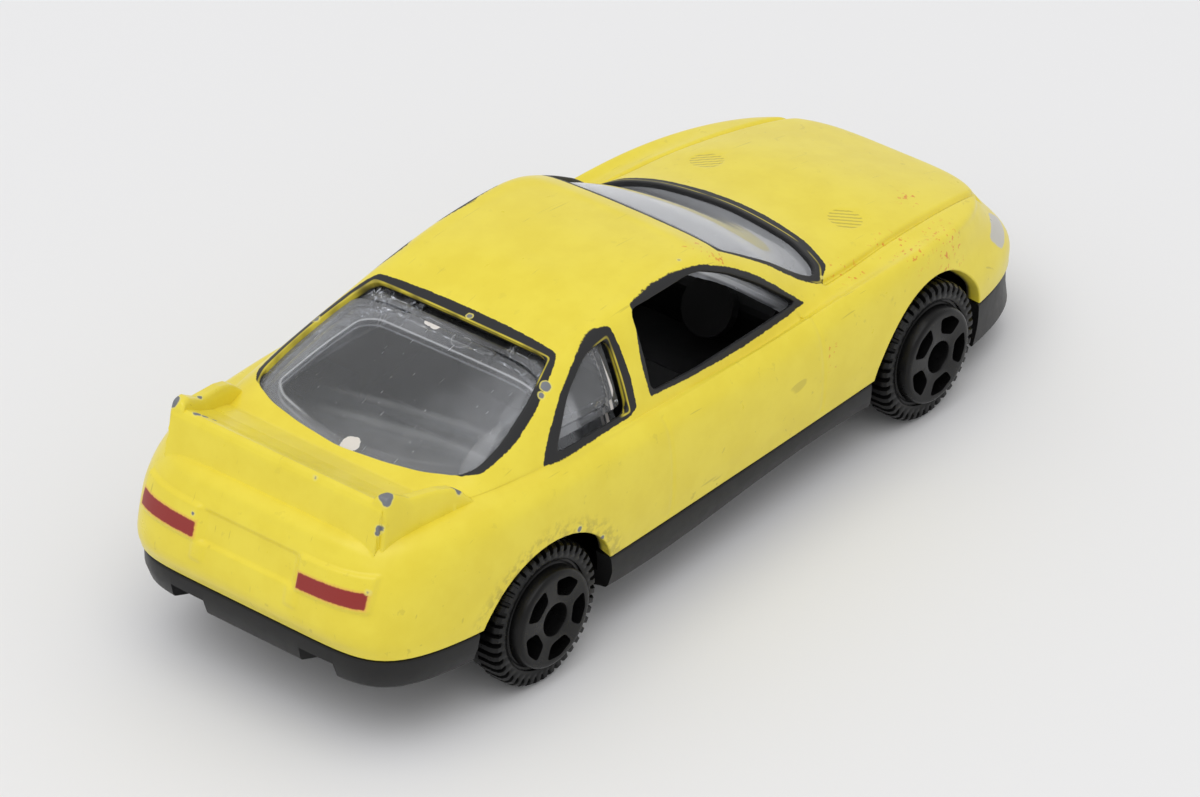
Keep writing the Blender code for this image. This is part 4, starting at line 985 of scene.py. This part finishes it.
def enamel():
    """Yellow enamel with black window frames, red and silver lamps, chips, scratches and specks of paint,
    with painted shade in the vent slats and on the inner skin.
    """
    coat = Finish("yellow_enamel", IOR=1.5, Specular_IOR_Level=0.42)
    wobble = coat.math("MULTIPLY_ADD", coat.noise(0.9, 3.0), 0.16, -0.08)
    fine = coat.math("MULTIPLY_ADD", coat.noise(4.0, 3.0), 0.14, -0.07)
    ragged = coat.math("ADD", wobble, fine)
    upper = coat.above(coat.z, 13.2, 0.1)
    flank = coat.both(coat.above(coat.side, 7.4, 0.1), coat.above(coat.z, 14.0, 0.1))

    def frame_of(across, up, frame, where):
        """The black paint round an opening."""
        edge = coat.math("ADD", coat.shape(across, up, frame, 0.3), ragged)
        return coat.both(coat.below(edge, 0.0, 0.03), where)

    frames = coat.either(
        frame_of(coat.x, coat.z, DOOR_FRAME, flank), frame_of(coat.x, coat.z, QUARTER_FRAME, flank),
        frame_of(coat.x, coat.y, WINDSCREEN_FRAME, upper), frame_of(coat.x, coat.y, REAR_FRAME, upper),
    )
    rear = coat.shape(coat.x, coat.y, REAR_WINDOW, 0.4)
    screen = coat.shape(coat.x, coat.y, WINDSCREEN, 0.4)
    quarter = coat.shape(coat.x, coat.z, QUARTER_WINDOW, 0.4)
    rear_rim = coat.near(coat.math("ADD", rear, 0.04), 0.05, 0.04)
    screen_rim = coat.near(coat.math("SUBTRACT", screen, 0.38), 0.05, 0.05)
    quarter_rim = coat.near(coat.math("ADD", quarter, 0.04), 0.05, 0.04)
    # Where the black paint missed the openings' edges, so that the yellow shows
    missed = coat.either(
        coat.both(coat.below(rear, -0.05, 0.03), coat.above(coat.y, 3.0, 1.5)),
        coat.both(rear_rim, coat.above(coat.x, -16.5, 0.5)),
        coat.both(screen_rim, coat.above(coat.x, 11.5, 0.5)),
        coat.both(quarter_rim, coat.above(coat.x, -11.3, 0.3)),
    )
    missed = coat.both(missed, upper, coat.above(coat.noise(0.35, 2.0), 0.42, 0.15))
    frames = coat.both(frames, coat.math("MULTIPLY_ADD", missed, -0.75, 1.0))

    tail = coat.below(coat.x, -32.0, 0.1)
    lamp = coat.shape(coat.side, coat.z, [(4.6, 12.05), (9.95, 12.1), (9.95, 13.2), (4.6, 13.1)], 0.15)
    lamp = coat.math("ADD", lamp, fine)
    lamps = coat.both(coat.below(lamp, 0.0, 0.05), tail)
    halo = coat.math("MULTIPLY", coat.both(coat.below(lamp, 0.1, 0.14), tail), 0.7)
    nose = coat.above(coat.x, 30.5, 0.1)
    light = coat.shape(coat.side, coat.z, [(8.6, 8.3), (11.4, 8.1), (11.1, 9.5), (8.9, 9.7)], 0.6)
    lights = coat.both(coat.below(coat.math("ADD", light, fine), 0.0, 0.05), nose)
    mouth = coat.shape(coat.side, coat.z, [(-5.0, 6.75), (5.0, 6.75), (4.7, 8.0), (-4.7, 8.0)], 0.3)
    mouths = coat.both(coat.below(mouth, 0.0, 0.05), coat.above(coat.x, 35.0, 0.1))

    along = coat.math("SUBTRACT", coat.x, VENT[0])
    beside = coat.math("SUBTRACT", coat.side, VENT[1])
    away = coat.math("SQRT", coat.math("MULTIPLY_ADD", along, along, coat.math("MULTIPLY", beside, beside)))
    slats = coat.math("MULTIPLY", coat.math("ADD", along, coat.y), 2 * math.pi / VENT_PITCH)
    slats = coat.math("COSINE", slats)
    # Painted shade: the sunk slats of each bonnet vent
    vent_shade = coat.both(coat.below(away, VENT_RADIUS, 0.06), coat.above(slats, 0.35, 0.3), upper)

    bend = [float(value) for value in np.polyfit(*zip(*BONNET_LINE), 2)]
    slope = coat.math("MULTIPLY_ADD", coat.x, bend[0], bend[1])
    course = coat.math("MULTIPLY_ADD", slope, coat.x, bend[2])
    groove = coat.both(
        coat.near(coat.math("SUBTRACT", coat.side, course), 0.05, 0.06), coat.above(coat.z, 10.0, 0.1),
        coat.above(coat.x, 12.4, 0.3), coat.below(coat.x, 33.0, 0.5),
    )
    chips = coat.either(*[coat.spot(centre, radius, ragged) for centre, radius in CHIPS])
    rims = coat.either(*[coat.spot(centre, radius + 0.09, ragged) for centre, radius in CHIPS])
    patches = []
    for centre, radius in RUBBED:
        gone = coat.put("ShaderNodeVectorMath", (coat.place, centre), out=1, operation="DISTANCE")
        patches.append(coat.below(gone, radius * 0.8, radius * 0.4))
    rubbed = coat.both(coat.above(coat.noise(2.3, 4.0), 0.615, 0.02), coat.either(*patches))
    hairlines = coat.either(
        coat.streaks(35.0, (0.12, 5.0, 0.4), 0.745), coat.streaks(-52.0, (0.15, 4.0, 0.4), 0.75),
        coat.streaks(80.0, (0.2, 6.0, 0.5), 0.755),
    )
    low = coat.below(coat.z, 12.5, 4.0)
    low = coat.math("MULTIPLY_ADD", low, 0.5, 0.2)
    scuffs = coat.both(coat.above(coat.noise(1.1, 5.0), 0.665, 0.03), low)
    forward = coat.math("DIVIDE", coat.math("SUBTRACT", coat.x, REAR_AXLE_X), ARCH_HALF_LENGTH)
    rise = coat.math("DIVIDE", coat.math("SUBTRACT", coat.z, AXLE_Z), ARCH_HALF_HEIGHT)
    arch = coat.math("SQRT", coat.math("MULTIPLY_ADD", forward, forward, coat.math("MULTIPLY", rise, rise)))
    soil = coat.above(coat.noise(1.7, 4.0), 0.52, 0.1)
    soil = coat.both(coat.below(arch, 1.15, 0.1), coat.above(coat.side, 12.0, 0.5), soil)
    cloudy = coat.above(coat.noise(0.35, 3.0), 0.5, 0.2)

    shade = coat.blend(cloudy, ENAMEL_DEEP, ENAMEL_PALE)
    shade = coat.blend(coat.math("MULTIPLY", scuffs, 0.36), shade, DIRT_AND_SHADE)
    shade = coat.blend(coat.math("MULTIPLY", soil, 0.4), shade, DIRT_AND_SHADE)
    shade = coat.blend(coat.math("MULTIPLY", hairlines, 0.3), shade, DIRT_AND_SHADE)
    # Painted shade in the vent slats
    shade = coat.blend(coat.math("MULTIPLY", vent_shade, 0.5), shade, DIRT_AND_SHADE)
    shade = coat.blend(coat.math("MULTIPLY", groove, 0.5), shade, DIRT_AND_SHADE)
    shade = coat.blend(coat.math("MULTIPLY", rubbed, 0.85), shade, SPECK_ORANGE)
    inside = coat.put("ShaderNodeAttribute", out=2, attribute_name="inside")
    # Painted shade: the inner skin is coloured dark
    colour = coat.blend(coat.above(inside, 0.75, 0.2), shade, INSIDE_SHADE)
    colour = coat.blend(coat.either(frames, mouths), colour, FRAME_BLACK)
    colour = coat.blend(halo, colour, LAMP_HALO)
    colour = coat.blend(lamps, colour, LAMP_RED)
    colour = coat.blend(lights, colour, LAMP_SILVER)
    colour = coat.blend(coat.math("MULTIPLY", rims, 0.8), colour, CHIP_EDGE)
    colour = coat.blend(chips, colour, BARE_ZINC)
    coat.link("Base Color", colour)
    rough = coat.math("MULTIPLY_ADD", coat.noise(0.8, 4.0), 0.12, 0.24)
    coat.link("Roughness", coat.math("MULTIPLY_ADD", coat.either(frames, chips), 0.2, rough))
    coat.link("Metallic", coat.math("MULTIPLY", coat.either(chips, lights), 0.6))
    dents = coat.math("MULTIPLY_ADD", coat.either(chips, hairlines), -0.5, coat.noise(0.9, 3.0))
    coat.bump(dents, 0.25, 0.05)
    return coat.material


def black_plastic(name, tone, roughness, shine, grain):
    """Moulded black plastic with a fine grain, a faint bloom and worn spots."""
    coat = Finish(name, IOR=1.49, Specular_IOR_Level=shine)
    bloom = coat.noise(0.5, 3.0)
    coat.link("Base Color", coat.blend(bloom, (tone * 0.6,) * 3, (tone * 1.4, tone * 1.38, tone * 1.4)))
    coat.link("Roughness", coat.math("MULTIPLY_ADD", coat.noise(1.2, 3.0), 0.2, roughness - 0.1))
    coat.bump(coat.noise(grain, 2.0), 0.2, 0.02)
    return coat.material


# The clear tint, and a pale colour for the white spots and for the painted highlight along the quarter panes'
# edges
CLEAR_TINT, CLEAR_MARK_AND_GLINT = (0.83, 0.85, 0.89), (0.72, 0.68, 0.64)
# The moulded edge of the rear pane, seen from above as (x, y), along which a pale line is painted as a
# highlight
PANE_LINE = [
    (-16.9, -8.9), (-17.1, 5.2), (-17.8, 6.3), (-24.3, 7.8), (-25.2, 6.8), (-26.1, 3.4), (-26.5, 0.0),
    (-26.1, -3.4), (-25.2, -6.8), (-24.3, -8.4),
]


def clear_plastic():
    """Clear moulding with a painted reflection over the windscreen, painted highlights along its pane edges,
    an ejector pin's mark, cloudiness, scratches and white spots.
    """
    coat = Finish("clear_moulding", IOR=1.47)
    rear = coat.below(coat.x, -14.6, 0.3)
    pane = coat.shape(coat.x, coat.y, PANE_LINE, 0.5)
    strong = coat.either(coat.above(coat.x, -17.8, 0.5), coat.above(coat.y, 4.5, 1.5))
    strong = coat.math("MULTIPLY_ADD", strong, 0.8, 0.12)
    # Painted highlight: a pale line along the rear pane's moulded edge, strongest at its front and its left
    line = coat.both(coat.near(pane, 0.09, 0.09), rear, strong)
    margin = coat.both(coat.above(pane, 0.1, 0.3), rear, coat.above(coat.y, -2.0, 6.0))
    slant = coat.math("MULTIPLY_ADD", coat.y, 0.155, coat.x)
    ridges = coat.either(*[coat.near(coat.math("ADD", slant, at), 0.2, 0.35) for at in (22.85, 24.45)])
    ridges = coat.both(ridges, coat.below(coat.y, 3.0, 2.5), rear)
    lower = coat.both(coat.below(coat.math("MULTIPLY_ADD", coat.y, 0.12, coat.z), 16.9, 1.2), rear)
    quarter = coat.both(
        coat.above(coat.side, 8.0, 0.1), coat.above(coat.x, -20.0, 0.1), coat.below(coat.x, -9.0, 0.1)
    )
    # Painted highlight: a pale line along each quarter pane's front edge
    upright = coat.math("MULTIPLY_ADD", coat.z, -0.165, coat.math("ADD", coat.x, 13.92))
    quarter_edge_glint = coat.both(coat.near(upright, 0.14, 0.06), quarter)
    # Painted reflection: the whole windscreen is made paler
    screen = coat.above(coat.x, 1.0, 0.5)
    grime = coat.math("MULTIPLY_ADD", coat.noise(0.35, 3.0), -0.12, 0.05)
    pin = coat.put("ShaderNodeVectorMath", (coat.place, (-15.92, -1.28, 20.0)), out=1, operation="DISTANCE")
    ring = coat.near(coat.math("SUBTRACT", pin, 0.78), 0.03, 0.04)
    ragged = coat.math("MULTIPLY_ADD", coat.noise(1.5, 3.0), 0.5, -0.25)
    spots = coat.either(
        coat.spot((-15.5, 1.75, 20.1), 0.55, ragged), coat.spot((-15.75, 1.2, 20.0), 0.4, ragged),
        coat.spot((-26.6, -0.5, 16.6), 0.75, ragged),
    )
    scratches = coat.either(
        coat.streaks(62.0, (0.6, 8.0, 0.5), 0.745), coat.streaks(-20.0, (0.7, 7.0, 0.5), 0.755),
        coat.above(coat.noise(4.2, 2.0), 0.775, 0.02),
    )
    right = coat.both(coat.below(coat.y, -5.0, 3.0), coat.above(coat.x, -22.0, 2.5), rear)
    # Painted highlight: a pale line along the glazing's cut edge behind each door window
    cut = coat.near(coat.shape(coat.x, coat.z, door_cut(), 0.4), 0.3, 0.1)
    cut = coat.both(cut, coat.above(coat.side, 6.0, 0.3), coat.above(coat.x, -5.0, 2.0))
    # How much the glass is made less clear and paler: painted reflection over the windscreen, painted
    # highlights along the pane edges, lighter patches at the rear pane's margin, right side, lower part and
    # ridges and over the quarter panes, cloudiness, an ejector pin's ring and scratches
    haze_and_sheen = coat.math("MULTIPLY_ADD", margin, 0.13, grime)
    haze_and_sheen = coat.math("MULTIPLY_ADD", right, 0.1, haze_and_sheen)
    haze_and_sheen = coat.math("MULTIPLY_ADD", cut, 0.7, haze_and_sheen)
    haze_and_sheen = coat.math("MULTIPLY_ADD", lower, 0.1, haze_and_sheen)
    haze_and_sheen = coat.math("MULTIPLY_ADD", ridges, 0.09, haze_and_sheen)
    haze_and_sheen = coat.math("MULTIPLY_ADD", screen, 0.3, haze_and_sheen)
    haze_and_sheen = coat.math("MULTIPLY_ADD", quarter, 0.06, haze_and_sheen)
    haze_and_sheen = coat.math("MULTIPLY_ADD", line, 0.36, haze_and_sheen)
    haze_and_sheen = coat.math("MULTIPLY_ADD", ring, 0.24, haze_and_sheen)
    haze_and_sheen = coat.math("MULTIPLY_ADD", scratches, 0.14, haze_and_sheen)
    haze_and_sheen = coat.either(haze_and_sheen, spots, coat.math("MULTIPLY", quarter_edge_glint, 0.85))
    coat.link("Transmission Weight", coat.math("SUBTRACT", 0.97, haze_and_sheen))
    # White spots, and the painted highlight along the quarter panes' edges
    marks_and_glint = coat.either(spots, quarter_edge_glint)
    coat.link("Base Color", coat.blend(marks_and_glint, CLEAR_TINT, CLEAR_MARK_AND_GLINT))
    coat.link("Roughness", coat.math("MULTIPLY_ADD", scratches, 0.25, 0.06))
    return coat.material


def bright_steel():
    coat = Finish("bright_steel", Metallic=1.0)
    coat.link("Base Color", coat.blend(coat.noise(1.5, 3.0), (0.5, 0.5, 0.51), (0.66, 0.66, 0.66)))
    coat.link("Roughness", coat.math("MULTIPLY_ADD", coat.noise(3.0, 3.0), 0.2, 0.22))
    return coat.material


# The car

paint = enamel()
base_black = black_plastic("base_black", 0.01, 0.4, 0.32, 5.0)
wheel_black = black_plastic("wheel_black", 0.005, 0.3, 0.24, 4.0)
cabin_black = black_plastic("cabin_black", 0.008, 0.5, 0.2, 1.5)
clear = clear_plastic()
steel = bright_steel()

make_body(paint)
make_glazing(clear)
make_base(base_black)
for end, axle_x in (("front", FRONT_AXLE_X), ("rear", REAR_AXLE_X)):
    for hand, sign in (("left", 1), ("right", -1)):
        make_wheel(
            f"{end}_{hand}_tyre", f"{end}_{hand}_wheel", axle_x, sign, wheel_black, f"{end}_axle_set"
        )
for node, material in (
    ("interior_tub", cabin_black), ("front_axle", steel), ("rear_axle", steel),
    ("front_rivet", steel), ("rear_rivet", steel),
):
    frame["nodes"][node].data.materials.clear()
    frame["nodes"][node].data.materials.append(material)


# Floor, light and camera


def make_floor():
    bm = bmesh.new()
    bmesh.ops.create_grid(bm, x_segments=8, y_segments=8, size=2.5)
    mesh = bpy.data.meshes.new("floor")
    bm.to_mesh(mesh)
    bm.free()
    card = Finish("pale_card", Roughness=0.9, Base_Color=(0.82, 0.82, 0.83, 1.0))
    mesh.materials.append(card.material)
    obj = bpy.data.objects.new("floor", mesh)
    bpy.context.scene.collection.objects.link(obj)


def add_light(name, place, aim, size, power):
    data = bpy.data.lights.new(name, "AREA")
    data.shape, data.size, data.energy = "DISK", size, power
    obj = bpy.data.objects.new(name, data)
    obj.location = place
    obj.rotation_euler = (Vector(aim) - Vector(place)).to_track_quat("-Z", "Y").to_euler()
    bpy.context.scene.collection.objects.link(obj)


def set_world(strength):
    world = bpy.data.worlds.new("studio")
    bpy.context.scene.world = world
    world.use_nodes = True
    background = world.node_tree.nodes["Background"]
    background.inputs["Color"].default_value = (1.0, 1.0, 1.0, 1.0)
    background.inputs["Strength"].default_value = strength


def set_camera():
    """The photograph's view, found from the hubs, arches and split line."""
    turn, rise = math.radians(-50.327), math.radians(32.977)
    back = Vector((math.sin(turn) * math.cos(rise), -math.cos(turn) * math.cos(rise), math.sin(rise)))
    data = bpy.data.cameras.new("view")
    data.lens, data.sensor_width = 195.0, 36.0
    data.clip_start, data.clip_end = 0.01, 20.0
    obj = bpy.data.objects.new("view", data)
    obj.location = (Vector((0.811, 0.483, 6.0)) + back * 457.66) * MM
    obj.rotation_euler = (-back).to_track_quat("-Z", "Y").to_euler()
    bpy.context.scene.collection.objects.link(obj)
    bpy.context.scene.camera = obj


make_floor()
add_light("softbox", (-0.42, -0.15, 1.15), (0.0, 0.0, 0.01), 1.4, 6.4)
set_world(0.72)
set_camera()
bpy.context.scene.view_settings.view_transform = "Standard"
